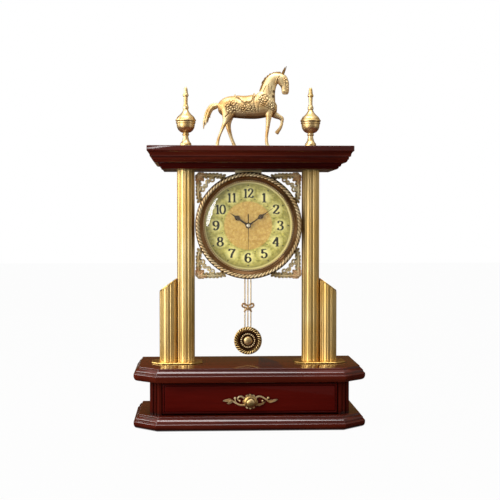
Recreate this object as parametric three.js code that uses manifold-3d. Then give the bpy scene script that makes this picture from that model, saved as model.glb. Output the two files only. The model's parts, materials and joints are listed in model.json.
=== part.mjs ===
// Table clock: a moulded wooden base with a drawer, two pairs of fluted brass columns,
// a moulded cornice with two finials and a walking horse, and a round clock head with
// a filigree frame, a pendulum and a small geared movement.
// Millimetres, +Z up. The front looks to -Y. The origin is the middle of the underside.

import * as THREE from 'three';
import { mergeVertices } from 'three/addons/utils/BufferGeometryUtils.js';
import Module from 'manifold-3d';

const wasm = await Module();
wasm.setup();

// Clearances
const seatGap = 0.3;
const runGap = 0.3;
const boreGap = 0.4;

// Wooden base
const baseWidth = 323;
const baseDepth = 160;
const baseCornerCut = 31.5;
const plinthHeight = 19.5;
const caseInset = 22.5;
const caseHeight = 46.5;
const caseCornerCut = 13;
const caseSideWall = 16.5;
const caseBackWall = 10;
const caseRailHeight = 2.5;
const caseRailDepth = 10;
const reedRadius = 1.6;
const runnerWidth = 8;
const runnerHeight = 3;

// Drawer
const drawerFrontGap = 1;
const drawerFrontThickness = 12;
const drawerProud = 0.5;
const drawerPanelRise = 2;
const drawerPanelBorder = 3;
const drawerPanelBevel = 3.5;
const drawerSideGap = 2.5;
const drawerWall = 8;
const drawerSideHeight = 36;
const drawerBottomThickness = 4;
const drawerBottomLift = 3;
const drawerRearGap = 8;

// Drawer pull
const pullWidth = 77;
const pullThickness = 2;
const pullRosetteRadius = 10.5;
const pullWingHeight = 6.5;
const pullDrop = 4;
const knobRadius = 6.7;
const knobFlangeRadius = 9;
const knobHeight = 13;
const knobScrewRadius = 1.8;
const knobScrewDepth = 7;
const knobScrewHeadRadius = 4;
const knobScrewHeadHeight = 2.5;

// Columns
const columnRadius = 12.4;
const columnBore = 9;
const columnFlutes = 16;
const fluteDepth = 1.4;
const fluteShare = 0.7;
const columnInset = 72.5;
const columnPairGap = 0.3;
const shortColumnInnerHeight = 116.4;
const shortColumnOuterHeight = 98.4;
const shortCapThickness = 1.6;
const portalHeight = 273.9;
const plateEndMargin = 11.25;
const plateSideMargin = 15;
const plateThickness = 2.5;
const plateCornerCut = 14;

// Tie bolts, from the base up into the finials
const tieRadius = 3;
const tieHeadRadius = 6.5;
const tieHeadHeight = 5;
const tieHeadRecess = 6;
const tieIntoFinial = 8;

// Cornice
const corniceOverhang = 52.5;
const corniceDepth = 156;
const soffitInset = 20.5;
const corniceSoffitHeight = 8;
const corniceCrownHeight = 8.5;
const corniceTopHeight = 14.5;

// Finials
const finialFoot = 8;
const finialStemRadius = 3.9;
const finialStemHeight = 22.2;
const finialBelly = 14.6;
const finialBowlHeight = 13.3;
const finialBandHeight = 5.7;
const finialLidHeight = 14.6;
const finialSpireRadius = 3;
const finialSpireHeight = 31.7;

// Clock head, measured from its own centre
const headSideGap = 0.6;
const headTopGap = 2.5;
const frameInset = 0.25;
const frameThickness = 4;
const frameRingInset = 1;
const frameRingLap = 0.6;
const frameTabWidth = 38;
const spandrelReach = 41;
const spandrelLap = 2;
const spandrelArm = 7.5;
const spandrelBlock = 13.5;
const spandrelLobes = 4;
const spandrelScallop = 2.5;
const curlRadius = 4.2;
const curlHole = 2;
const armCurlAlong = 25;
const armCurlIn = 8.5;
const cornerCurlIn = 16;
const bezelSeat = 4;
const bezelRise = 7;
const bandWidth = 4.9;
const ropeRadius = 2.5;
const ropeTwist = 0.4;
const ropeStrands = 44;
const beadRadius = 0.9;
const beadLip = 0.3;
const lensLap = 1.7;
const lensThickness = 1.3;
const lensDome = 4.6;
const panReveal = 4.9;
const panFlange = 6.5;
const panDepth = 8;
const panWall = 1;
const dialThickness = 0.75;
const bracketWidth = 24;
const bracketThickness = 2;
const bracketGap = 4.5;
const bracketFoot = 30;

// Movement
const movementSize = 56;
const movementDepth = 18;
const movementWall = 1.5;
const bushRadius = 3.3;
const bushReach = 4.4;
const nutRadius = 4.8;
const nutHeight = 1.8;
const cellRadius = 7.1;
const cellLength = 50;
const cellDrop = 18;
const motorWidth = 11.5;
const motorHeight = 32;
const motorDepth = 12;

// Motion work: the cannon pinion drives the motion wheel, its pinion drives the hour wheel
const pinionTeeth = 8;
const motionTeeth = 24;
const hourTeeth = 32;
const gearModule = 0.75;
const gearAddendum = 0.75;
const gearDedendum = 1.15;
const toothTipShare = 0.22;
const toothRootShare = 0.56;
const wheelThickness = 1.6;
const secondArborRadius = 0.5;
const cannonRadius = 1.3;
const hourTubeRadius = 2.1;
const motionArborRadius = 0.9;
const tubeGap = 0.25;
const settingKnobRadius = 6;
const settingKnobHeight = 4.5;

// Hands
const handThickness = 0.6;
const handStep = 1.2;
const hourHandLength = 32;
const minuteHandLength = 44;
const secondHandLength = 36.8;
const secondHandTail = 16.4;
const handTipHalf = 0.2;
const hourSwellStart = 14;
const hourSwellEnd = 26;
const hourSwellHalf = 3.8;
const minuteSwellStart = 17;
const minuteSwellEnd = 30;
const minuteSwellHalf = 3.5;
const hourShaftHalf = 1.3;
const minuteShaftHalf = 1.1;
const handHubRadius = 4.2;
const secondTailHalf = 0.8;
const handCapRadius = 2.6;
const handCapRise = 1.4;
const restHour = 10;
const restMinute = 9.15;
const restSecond = 30;

// Pendulum
const pendulumPlane = 14;
const pivotDrop = 6.5;
const pivotRadius = 1.2;
const yokeWidth = 10;
const yokeWall = 1.5;
const hangerThickness = 2.4;
const hangerWidth = 8;
const hangerLength = 18;
const gridRodRadius = 0.8;
const gridRodPitch = 4.3;
const gridBarHeight = 4;
const bobClearance = 9.65;
const bobRadius = 20;
const bobThickness = 5;
const bobLedge = 1.2;
const bobRimRadius = 1.9;
const bobBossRadius = 6.3;
const bowRise = 47.25;
const bowWidth = 18.3;
const bowTall = 14;
const bowThickness = 1.4;

// Facets
const ringSides = 32;
const turnedSides = 12;
const smallSides = 8;
const beadSides = 5;
const bobRimSides = 5;
const ropeSides = 4;
const ropeSteps = 3;
const curveSteps = 3;

// Places that follow from the sizes
const caseWidth = baseWidth - 2 * caseInset;
const caseDepth = baseDepth - 2 * caseInset;
const baseHeight = 2 * plinthHeight + caseHeight;
const drawerOpening = caseWidth / 2 - caseSideWall;
const corniceBottom = baseHeight + portalHeight;
const corniceHeight = corniceSoffitHeight + corniceCrownHeight + corniceTopHeight;
const corniceTop = corniceBottom + corniceHeight;
const columnFoot = baseHeight + plateThickness;
const columnLength = portalHeight - plateThickness;
const tallColumnX = baseWidth / 2 - columnInset;
const shortColumnX = tallColumnX + 2 * columnRadius + columnPairGap;
const plateX = (tallColumnX + shortColumnX) / 2;
const plateWidth = shortColumnX - tallColumnX + 2 * columnRadius + 2 * plateEndMargin;
const plateDepth = 2 * columnRadius + 2 * plateSideMargin;
const corniceWidth = 2 * (tallColumnX + corniceOverhang);
const bezelRadius = tallColumnX - columnRadius - headSideGap;
const headCeiling = bezelRadius + headTopGap;
const headHeight = corniceBottom - headCeiling;
const ropeCircle = bezelRadius - ropeRadius - ropeTwist;
const bandOuter = ropeCircle - ropeRadius - ropeTwist - seatGap;
const bandInner = bandOuter - bandWidth;
const beadCircle = bandInner - seatGap - beadRadius;
const bezelOpening = beadCircle - beadRadius - beadLip;
const lensRadius = bezelOpening + lensLap;
const frameHalf = bezelRadius - frameInset;
const frameRingOuter = bezelRadius - frameRingInset;
const frameRingInner = bezelOpening + frameRingLap;
const panRadius = bezelOpening + panReveal;
const panFlangeRadius = panRadius + panFlange;
const bobHeight = baseHeight + bobClearance + bobRadius;
const bowHeight = bobHeight + bowRise;
const frameFront = -frameThickness;
const dialFront = panDepth - panWall - dialThickness;
const movementBack = panDepth + movementDepth;
const hourHandY = panDepth - bushReach - handStep + handThickness / 2;
const minuteHandY = hourHandY - handStep;
const secondHandY = minuteHandY - handStep;
const pivotZ = -movementSize / 2 - pivotDrop;

// Surface finishes
const lacquer = { color: 0x4a120a, roughness: 0.22, metalness: 0 };
const panelLacquer = { color: 0x4a0500, roughness: 0.25, metalness: 0 };
const rawWood = { color: 0xb58a5a, roughness: 0.7, metalness: 0 };
const brass = { color: 0xd8ab58, roughness: 0.28, metalness: 1 };
const antiqueGold = { color: 0xb8985a, roughness: 0.38, metalness: 1 };
const bronze = { color: 0x6a4a28, roughness: 0.35, metalness: 1 };
const rosyGold = { color: 0xe0b48a, roughness: 0.35, metalness: 1 };
const copper = { color: 0xb87850, roughness: 0.35, metalness: 1 };
const steel = { color: 0x9a9a98, roughness: 0.4, metalness: 1 };
const darkBronze = { color: 0x3a2a14, roughness: 0.45, metalness: 0.6 };
const dialPaper = { color: 0xd2cc70, roughness: 0.55, metalness: 0.1 };
const glass = { color: 0xf4f6f4, roughness: 0.05, metalness: 0 };
const blackPlastic = { color: 0x1c1c1e, roughness: 0.5, metalness: 0 };
const whitePlastic = { color: 0xe8e6e0, roughness: 0.45, metalness: 0 };
const cellJacket = { color: 0x5a6068, roughness: 0.4, metalness: 0.3 };

// Meshes: one closed skin with shared corners, no empty triangles, faces outward
function closedSkin(geometry) {
  const bare = new THREE.BufferGeometry();
  bare.setAttribute('position', geometry.getAttribute('position').clone());
  if (geometry.getIndex()) {
    bare.setIndex(geometry.getIndex().clone());
  }
  const merged = mergeVertices(bare, 1e-4);
  const from = merged.getIndex().array;
  const at = merged.getAttribute('position');
  const kept = [];
  let volume = 0;
  const [a, b, c] = [new THREE.Vector3(), new THREE.Vector3(), new THREE.Vector3()];
  for (let i = 0; i < from.length; i += 3) {
    const [p, q, r] = [from[i], from[i + 1], from[i + 2]];
    if (p === q || q === r || r === p) {
      continue;
    }
    kept.push(p, q, r);
    a.fromBufferAttribute(at, p);
    b.fromBufferAttribute(at, q);
    c.fromBufferAttribute(at, r);
    volume += a.dot(b.cross(c));
  }
  if (volume < 0) {
    for (let i = 0; i < kept.length; i += 3) {
      [kept[i + 1], kept[i + 2]] = [kept[i + 2], kept[i + 1]];
    }
  }
  merged.setIndex(kept);
  return merged;
}

function toSolid(geometry) {
  const skin = closedSkin(geometry);
  return new wasm.Manifold(new wasm.Mesh({
    numProp: 3,
    vertProperties: new Float32Array(skin.getAttribute('position').array),
    triVerts: new Uint32Array(skin.getIndex().array),
  }));
}

function toGeometry(solid) {
  const mesh = solid.getMesh();
  const geometry = new THREE.BufferGeometry();
  geometry.setAttribute('position', new THREE.Float32BufferAttribute(mesh.vertProperties, 3));
  geometry.setIndex(Array.from(mesh.triVerts));
  return geometry;
}

function joined(first, ...others) {
  return toGeometry(others.reduce((solid, next) => solid.add(toSolid(next)), toSolid(first)));
}

function cut(first, ...others) {
  return toGeometry(others.reduce((solid, next) => solid.subtract(toSolid(next)), toSolid(first)));
}

function mirrored(geometry) {
  return closedSkin(geometry.clone().scale(-1, 1, 1));
}

// Basic forms
function block(x0, x1, y0, y1, z0, z1) {
  const box = new THREE.BoxGeometry(x1 - x0, y1 - y0, z1 - z0);
  return box.translate((x0 + x1) / 2, (y0 + y1) / 2, (z0 + z1) / 2);
}

// A flat outline raised from z0 to z1
function raised(shape, z0, z1, steps = curveSteps) {
  const options = { depth: z1 - z0, bevelEnabled: false, curveSegments: steps };
  return new THREE.ExtrudeGeometry(shape, options).translate(0, 0, z0);
}

// A flat outline standing up in the XZ plane, from yFront back to yBack
function standing(shape, yFront, yBack, steps = curveSteps) {
  return raised(shape, 0, yBack - yFront, steps).rotateX(Math.PI / 2).translate(0, yBack, 0);
}

// A round bar along Z, Y or X
function barZ(radius, z0, z1, sides = smallSides) {
  const bar = new THREE.CylinderGeometry(radius, radius, z1 - z0, sides);
  return bar.rotateX(Math.PI / 2).translate(0, 0, (z0 + z1) / 2);
}

function barY(radius, y0, y1, sides = smallSides) {
  return new THREE.CylinderGeometry(radius, radius, y1 - y0, sides).translate(0, (y0 + y1) / 2, 0);
}

// A profile of (radius, height) points turned round Z, or of (radius, y) points round Y
function turnedZ(points, sides = turnedSides) {
  return closedSkin(new THREE.LatheGeometry(points, sides).rotateX(Math.PI / 2));
}

function turnedY(points, sides = ringSides) {
  return closedSkin(new THREE.LatheGeometry(points, sides));
}

function points2(...pairs) {
  return pairs.map(([x, y]) => new THREE.Vector2(x, y));
}

// A ring whose section is a list of corners, closed on itself
function ringY(corners, sides = ringSides) {
  return turnedY([...corners, corners[0].clone()], sides);
}

// A skin through rings of equally many points: capped at its ends, or closed in a loop
function skinned(rings, loop = false) {
  const count = rings[0].length;
  const last = rings.length - 1;
  const index = [];
  for (let k = 0; k < rings.length - (loop ? 0 : 1); k++) {
    const here = k * count;
    const next = ((k + 1) % rings.length) * count;
    for (let i = 0; i < count; i++) {
      const j = (i + 1) % count;
      index.push(here + i, here + j, next + j, here + i, next + j, next + i);
    }
  }
  for (let i = 1; i < count - 1 && !loop; i++) {
    index.push(0, i + 1, i, last * count, last * count + i, last * count + i + 1);
  }
  const geometry = new THREE.BufferGeometry();
  const flat = rings.flat().flatMap((p) => [p.x, p.y, p.z]);
  geometry.setAttribute('position', new THREE.Float32BufferAttribute(flat, 3));
  geometry.setIndex(index);
  return closedSkin(geometry);
}

// Outlines
function rectangle(width, depth) {
  const [x, y] = [width / 2, depth / 2];
  return points2([-x, -y], [x, -y], [x, y], [-x, y]);
}

function frontCutRectangle(width, depth, corner) {
  const [x, y] = [width / 2, depth / 2];
  return points2([corner - x, -y], [x - corner, -y], [x, corner - y], [x, y], [-x, y], [-x, corner - y]);
}

function octagon(width, depth, corner) {
  const [x, y] = [width / 2, depth / 2];
  return points2([corner - x, -y], [x - corner, -y], [x, corner - y], [x, y - corner],
    [x - corner, y], [corner - x, y], [-x, y - corner], [-x, corner - y]);
}

// A convex outline, counter-clockwise, drawn in by a distance with mitred corners
function drawnIn(outline, distance) {
  const count = outline.length;
  return outline.map((corner, i) => {
    const before = corner.clone().sub(outline[(i + count - 1) % count]).normalize();
    const after = outline[(i + 1) % count].clone().sub(corner).normalize();
    const inward = new THREE.Vector2(-before.y - after.y, before.x + after.x);
    return corner.clone().addScaledVector(inward, distance / (1 + before.dot(after)));
  });
}

// A board whose edge follows a moulding: path x is the distance in, path y the height
function mouldedBoard(outline, moulding) {
  return skinned(moulding.getPoints(curveSteps).map((p) => (
    drawnIn(outline, p.x).map((q) => new THREE.Vector3(q.x, q.y, p.y))
  )));
}

function roundCorners(x, y, radius, sides) {
  return Array.from({ length: sides }, (_, i) => {
    const angle = 2 * Math.PI * i / sides;
    return new THREE.Vector2(x + radius * Math.cos(angle), y + radius * Math.sin(angle));
  });
}

// A hole is drawn just outside its circle, so that a pin of that radius fits between its flats
function withHole(shape, x, y, radius, sides = smallSides) {
  const corners = roundCorners(x, y, radius / Math.cos(Math.PI / sides), sides);
  shape.holes.push(new THREE.Path(corners.reverse()));
  return shape;
}

// The scene graph
const clock = new THREE.Group();

function addGroup(parent, x, y, z) {
  const group = new THREE.Group();
  group.position.set(x, y, z);
  parent.add(group);
  return group;
}

function addPart(parent, name, geometry, finish) {
  const mesh = new THREE.Mesh(closedSkin(geometry), new THREE.MeshStandardMaterial(finish));
  mesh.name = name;
  parent.add(mesh);
  return mesh;
}

function addPair(parent, name, rightGeometry, finish) {
  addPart(parent, `${name}_right`, rightGeometry, finish);
  addPart(parent, `${name}_left`, mirrored(rightGeometry), finish);
}

// Base: two moulded boards with the drawer case between them
function plinthMoulding() {
  const moulding = new THREE.Path();
  moulding.moveTo(4.5, 0);
  moulding.quadraticCurveTo(0.2, 0.6, 0, 5.4);
  moulding.lineTo(0, 6.6);
  moulding.quadraticCurveTo(0, 8.8, 1.8, 9);
  moulding.lineTo(2.6, 9.4);
  moulding.quadraticCurveTo(2.8, plinthHeight - 5.1, 6.6, plinthHeight - 4.3);
  moulding.lineTo(8, plinthHeight - 0.8);
  moulding.lineTo(10, plinthHeight);
  return moulding;
}

const base = addGroup(clock, 0, 0, 0);
const plinthOutline = frontCutRectangle(baseWidth, baseDepth, baseCornerCut);
addPart(base, 'bottom_plinth', mouldedBoard(plinthOutline, plinthMoulding()), lacquer);

function topPlinth() {
  const tools = [-1, 1].flatMap((side) => [
    barZ(tieRadius + boreGap, -1, plinthHeight + 1).translate(side * tallColumnX, 0, 0),
    barZ(tieHeadRadius + boreGap, -1, tieHeadRecess, turnedSides).translate(side * tallColumnX, 0, 0),
  ]);
  return cut(mouldedBoard(plinthOutline, plinthMoulding()), ...tools);
}

const topBoard = addGroup(base, 0, 0, plinthHeight + caseHeight);
addPart(topBoard, 'top_plinth', topPlinth(), lacquer);

// The right side of the case, with two upright reeds on its cut front corner
function caseSideShape() {
  const [x1, y1] = [caseWidth / 2, caseDepth / 2];
  const shape = new THREE.Shape();
  shape.moveTo(drawerOpening, -y1);
  shape.lineTo(x1 - caseCornerCut, -y1);
  for (const share of [1 / 3, 2 / 3]) {
    const along = caseCornerCut * share;
    shape.absarc(x1 - caseCornerCut + along, -y1 + along, reedRadius, -0.75 * Math.PI, 0.25 * Math.PI, false);
  }
  shape.lineTo(x1, caseCornerCut - y1);
  shape.lineTo(x1, y1);
  shape.lineTo(drawerOpening, y1);
  return shape;
}

const caseGroup = addGroup(base, 0, 0, plinthHeight);
addPair(caseGroup, 'case_side', raised(caseSideShape(), 0, caseHeight), lacquer);
addPart(caseGroup, 'case_back', block(-drawerOpening, drawerOpening,
  caseDepth / 2 - caseBackWall, caseDepth / 2, 0, caseHeight), lacquer);
addPart(caseGroup, 'case_rail', block(-drawerOpening, drawerOpening,
  -caseDepth / 2, -caseDepth / 2 + caseRailDepth, caseHeight - caseRailHeight, caseHeight), lacquer);
const drawerHalf = drawerOpening - drawerSideGap;
addPair(caseGroup, 'drawer_runner', block(drawerHalf - runnerWidth, drawerHalf,
  -caseDepth / 2 + drawerFrontThickness, caseDepth / 2 - caseBackWall, 0, runnerHeight), rawWood);

// Drawer: a fielded front on a plain box that slides on the two runners
const drawerFaceY = -caseDepth / 2 - drawerProud;
const drawerInnerY = drawerFaceY + drawerFrontThickness;
const drawerEndY = caseDepth / 2 - caseBackWall - drawerRearGap;
const drawerFrontHeight = caseHeight - caseRailHeight - 1.5 * drawerFrontGap;
const drawerFrontMiddle = drawerFrontGap + drawerFrontHeight / 2;
const drawer = addGroup(clock, 0, 0, plinthHeight);

function drawerFront() {
  const moulding = new THREE.Path();
  moulding.moveTo(0, 0);
  moulding.lineTo(0, drawerFrontThickness - drawerPanelRise);
  moulding.lineTo(drawerPanelBorder, drawerFrontThickness - drawerPanelRise);
  moulding.lineTo(drawerPanelBorder + drawerPanelBevel, drawerFrontThickness);
  const outline = rectangle(2 * (drawerOpening - drawerFrontGap), drawerFrontHeight);
  const board = mouldedBoard(outline, moulding).rotateX(Math.PI / 2);
  board.translate(0, drawerInnerY, drawerFrontMiddle);
  const bore = barY(knobScrewRadius + boreGap, drawerFaceY - 1, drawerInnerY + 1);
  return cut(board, bore.translate(0, 0, drawerFrontMiddle - pullDrop));
}

const drawerFloor = runnerHeight + runGap;
const drawerInside = drawerHalf - drawerWall;
addPart(drawer, 'drawer_front', drawerFront(), panelLacquer);
addPair(drawer, 'drawer_side', block(drawerInside, drawerHalf, drawerInnerY, drawerEndY,
  drawerFloor, drawerFloor + drawerSideHeight), rawWood);
addPart(drawer, 'drawer_back', block(-drawerInside, drawerInside, drawerEndY - drawerWall, drawerEndY,
  drawerFloor, drawerFloor + drawerSideHeight), rawWood);
addPart(drawer, 'drawer_bottom', block(-drawerInside, drawerInside, drawerInnerY, drawerEndY - drawerWall,
  drawerFloor + drawerBottomLift, drawerFloor + drawerBottomLift + drawerBottomThickness), rawWood);

// Drawer pull: a pierced leaf backplate under a domed knob, held by a screw from inside
function pullWing(shape, side) {
  const [half, tall] = [side * pullWidth / 2, side * pullWingHeight];
  const root = side * pullRosetteRadius * 0.8;
  shape.lineTo(root, -tall * 0.85);
  shape.quadraticCurveTo(half * 0.45, -tall * 1.05, half * 0.55, -tall * 0.35);
  shape.quadraticCurveTo(half * 0.68, -tall * 0.75, half * 0.8, -tall * 0.35);
  shape.quadraticCurveTo(half * 0.92, -tall * 0.3, half, 0);
  shape.quadraticCurveTo(half * 0.9, tall * 0.4, half * 0.78, tall * 0.42);
  shape.quadraticCurveTo(half * 0.66, tall * 0.75, half * 0.55, tall * 0.4);
  shape.quadraticCurveTo(half * 0.42, tall * 1.05, root, tall * 0.85);
}

function pullPlate() {
  const wings = new THREE.Shape();
  wings.moveTo(0, -pullWingHeight * 0.85);
  pullWing(wings, 1);
  pullWing(wings, -1);
  for (const side of [-1, 1]) {
    withHole(wings, side * pullWidth * 0.21, 0, pullWingHeight * 0.34);
    withHole(wings, side * pullWidth * 0.345, 0, pullWingHeight * 0.2);
  }
  const rosette = barY(pullRosetteRadius, -pullThickness, 0, turnedSides);
  const plate = joined(standing(wings, -pullThickness, 0), rosette);
  return cut(plate, barY(knobScrewRadius + boreGap, -pullThickness - 1, 1));
}

function knobProfile() {
  const bore = knobScrewRadius + boreGap;
  const profile = new THREE.Path();
  profile.moveTo(0, -knobScrewDepth - boreGap);
  profile.lineTo(bore, -knobScrewDepth - boreGap);
  profile.lineTo(bore, 0);
  profile.lineTo(knobFlangeRadius, 0);
  profile.quadraticCurveTo(knobFlangeRadius, -2.5, knobRadius * 0.62, -3);
  profile.lineTo(knobRadius * 0.62, -5);
  profile.quadraticCurveTo(knobRadius, -5, knobRadius, -7.5);
  profile.quadraticCurveTo(knobRadius, -knobHeight, 0, -knobHeight);
  return profile.getPoints(curveSteps);
}

const pull = addGroup(drawer, 0, drawerFaceY - seatGap / 3, drawerFrontMiddle - pullDrop);
addPart(pull, 'drawer_pull_plate', pullPlate(), rosyGold);
const knob = addGroup(pull, 0, -pullThickness - seatGap / 3, 0);
addPart(knob, 'drawer_knob', turnedY(knobProfile(), turnedSides), antiqueGold);
const screwStart = drawerFrontThickness + pullThickness + seatGap;
addPart(knob, 'drawer_knob_screw', turnedY(points2([0, -knobScrewDepth], [knobScrewRadius, -knobScrewDepth],
  [knobScrewRadius, screwStart], [knobScrewHeadRadius, screwStart],
  [knobScrewHeadRadius * 0.8, screwStart + knobScrewHeadHeight], [0, screwStart + knobScrewHeadHeight]),
smallSides), steel);

// Columns: fluted brass tubes on an eight-sided plate, the short ones cut on a slant
function flutedShape() {
  const pitch = 2 * Math.PI / columnFlutes;
  const corners = [];
  for (let i = 0; i < columnFlutes; i++) {
    for (const [share, depth] of [[0, 0], [1 - fluteShare, 0], [1 - fluteShare / 2, fluteDepth]]) {
      const angle = pitch * (i + share);
      const radius = columnRadius - depth;
      corners.push(new THREE.Vector2(radius * Math.cos(angle), radius * Math.sin(angle)));
    }
  }
  return withHole(new THREE.Shape(corners), 0, 0, columnBore, turnedSides);
}

// Slanted cut of the short column: high at the inner side, low at the outer side
const slantDrop = (shortColumnInnerHeight - shortColumnOuterHeight) / (2 * columnRadius);
const slantMiddle = (shortColumnInnerHeight + shortColumnOuterHeight) / 2;

function slanted(geometry, above, slope) {
  const at = geometry.getAttribute('position');
  for (let i = 0; i < at.count; i++) {
    if (at.getZ(i) > above) {
      at.setZ(i, at.getZ(i) - slope * at.getX(i));
    }
  }
  return geometry;
}

function columnPlate() {
  const shape = new THREE.Shape(octagon(plateWidth, plateDepth, plateCornerCut));
  return raised(withHole(shape, tallColumnX - plateX, 0, tieRadius + boreGap), 0, plateThickness);
}

const portal = addGroup(clock, 0, 0, 0);
addPair(portal, 'column_plate', columnPlate().translate(plateX, 0, baseHeight), brass);
const flutes = flutedShape();
addPair(portal, 'tall_column', raised(flutes, columnFoot, columnFoot + columnLength)
  .translate(tallColumnX, 0, 0), brass);
addPair(portal, 'short_column', slanted(raised(flutes, 0, slantMiddle), slantMiddle / 2, slantDrop)
  .translate(shortColumnX, 0, columnFoot), brass);
const capFoot = slantMiddle + seatGap;
addPair(portal, 'short_column_cap', slanted(
  barZ(columnRadius, capFoot, capFoot + shortCapThickness, 2 * turnedSides), 0, slantDrop,
).translate(shortColumnX, 0, columnFoot), brass);

// Tie bolt: a hexagon head under the top board, a shank up into the finial
function tieBolt() {
  const headTop = plinthHeight + caseHeight + tieHeadRecess - seatGap;
  const head = barZ(tieHeadRadius, headTop - tieHeadHeight, headTop, 6);
  return joined(head, barZ(tieRadius, headTop - 1, corniceTop + tieIntoFinial));
}

addPair(portal, 'tie_bolt', tieBolt().translate(tallColumnX, 0, 0), steel);

// Cornice: three boards, each with its own moulding, stepping out to the top
function corniceBoard(height, moulding) {
  const tools = [-1, 1].map((side) => (
    barZ(tieRadius + boreGap, -1, height + 1).translate(side * tallColumnX, 0, 0)
  ));
  return cut(mouldedBoard(rectangle(corniceWidth, corniceDepth), moulding), ...tools);
}

function soffitMoulding() {
  const moulding = new THREE.Path();
  moulding.moveTo(soffitInset, 0);
  moulding.lineTo(soffitInset - 1.7, corniceSoffitHeight * 0.4);
  moulding.lineTo(soffitInset - 4.1, corniceSoffitHeight * 0.5);
  moulding.lineTo(soffitInset - 5.9, corniceSoffitHeight);
  return moulding;
}

function crownMoulding() {
  const moulding = new THREE.Path();
  moulding.moveTo(11.6, 0);
  moulding.quadraticCurveTo(8, 0.6, 7.6, corniceCrownHeight * 0.5);
  moulding.lineTo(6.6, corniceCrownHeight * 0.5);
  moulding.lineTo(6.2, corniceCrownHeight);
  return moulding;
}

function topMoulding() {
  const moulding = new THREE.Path();
  moulding.moveTo(4, 0);
  moulding.quadraticCurveTo(3.4, corniceTopHeight * 0.34, 1.2, corniceTopHeight * 0.46);
  moulding.lineTo(0, corniceTopHeight * 0.5);
  moulding.lineTo(0, corniceTopHeight - 0.75);
  moulding.lineTo(0.75, corniceTopHeight);
  return moulding;
}

const cornice = addGroup(clock, 0, 0, corniceBottom);
addPart(cornice, 'cornice_soffit', corniceBoard(corniceSoffitHeight, soffitMoulding()), lacquer);
const crown = addGroup(cornice, 0, 0, corniceSoffitHeight);
addPart(crown, 'cornice_crown', corniceBoard(corniceCrownHeight, crownMoulding()), lacquer);
const topSlab = addGroup(crown, 0, 0, corniceCrownHeight);
addPart(topSlab, 'cornice_top', corniceBoard(corniceTopHeight, topMoulding()), lacquer);

// Finials: a turned foot, a bowl with a grooved band, an ogee lid and a spire
function finialProfile() {
  const bore = tieRadius + boreGap;
  const [stem, spire, belly] = [finialStemRadius, finialSpireRadius, finialBelly];
  const band = finialStemHeight + finialBowlHeight;
  const lid = band + finialBandHeight;
  const neck = lid + finialLidHeight;
  const tip = neck + finialSpireHeight;
  const profile = new THREE.Path();
  profile.moveTo(0, tieIntoFinial + boreGap);
  profile.lineTo(bore, tieIntoFinial + boreGap);
  profile.lineTo(bore, 0);
  profile.lineTo(finialFoot, 0);
  profile.lineTo(finialFoot, finialStemHeight * 0.08);
  profile.quadraticCurveTo(stem, finialStemHeight * 0.2, stem, finialStemHeight * 0.66);
  profile.lineTo(stem * 1.18, finialStemHeight * 0.86);
  profile.lineTo(stem * 1.08, finialStemHeight);
  profile.quadraticCurveTo(belly * 0.8, finialStemHeight + finialBowlHeight * 0.14, belly * 0.88, band);
  profile.lineTo(belly * 0.95, band);
  profile.lineTo(belly * 0.95, band + finialBandHeight * 0.45);
  profile.lineTo(belly, band + finialBandHeight * 0.6);
  profile.lineTo(belly, lid);
  profile.bezierCurveTo(belly * 0.62, lid + finialLidHeight * 0.36, spire * 1.13, lid + finialLidHeight * 0.4,
    spire, neck);
  profile.lineTo(spire * 1.37, neck + finialSpireHeight * 0.1);
  profile.lineTo(spire, neck + finialSpireHeight * 0.18);
  profile.lineTo(spire, neck + finialSpireHeight * 0.58);
  profile.lineTo(spire * 1.37, neck + finialSpireHeight * 0.64);
  profile.lineTo(spire * 0.93, neck + finialSpireHeight * 0.9);
  profile.quadraticCurveTo(spire * 0.73, tip, 0, tip);
  return profile.getPoints(curveSteps);
}

const top = addGroup(clock, 0, 0, corniceTop);
addPair(top, 'finial', turnedZ(finialProfile()).translate(tallColumnX, 0, 0), brass);

// Horse: sections that run along the body, neck, legs and tail.
// A row holds the middle x and z, the half height as dx and dz, the half width, and y.
function smoothRows(rows, steps) {
  const out = [];
  for (let i = 0; i < rows.length - 1; i++) {
    const [before, here, next, after] = [Math.max(i - 1, 0), i, i + 1, Math.min(i + 2, rows.length - 1)];
    for (let s = 0; s < steps; s++) {
      const t = s / steps;
      out.push(rows[here].map((value, k) => {
        const rise = (rows[next][k] - rows[before][k]) / 2;
        const fall = (rows[after][k] - value) / 2;
        const span = rows[next][k] - value;
        return value + rise * t + (3 * span - 2 * rise - fall) * t ** 2 + (rise + fall - 2 * span) * t ** 3;
      }));
    }
  }
  return [...out, rows.at(-1)];
}

function limb(rows, sides, steps = 2) {
  return skinned(smoothRows(rows, steps).map(([x, z, dx, dz, width, y]) => (
    Array.from({ length: sides }, (_, i) => {
      const angle = 2 * Math.PI * i / sides;
      const [along, across] = [Math.cos(angle), Math.sin(angle)];
      return new THREE.Vector3(x + dx * along, y + width * across, z + dz * along);
    })
  )));
}

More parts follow.
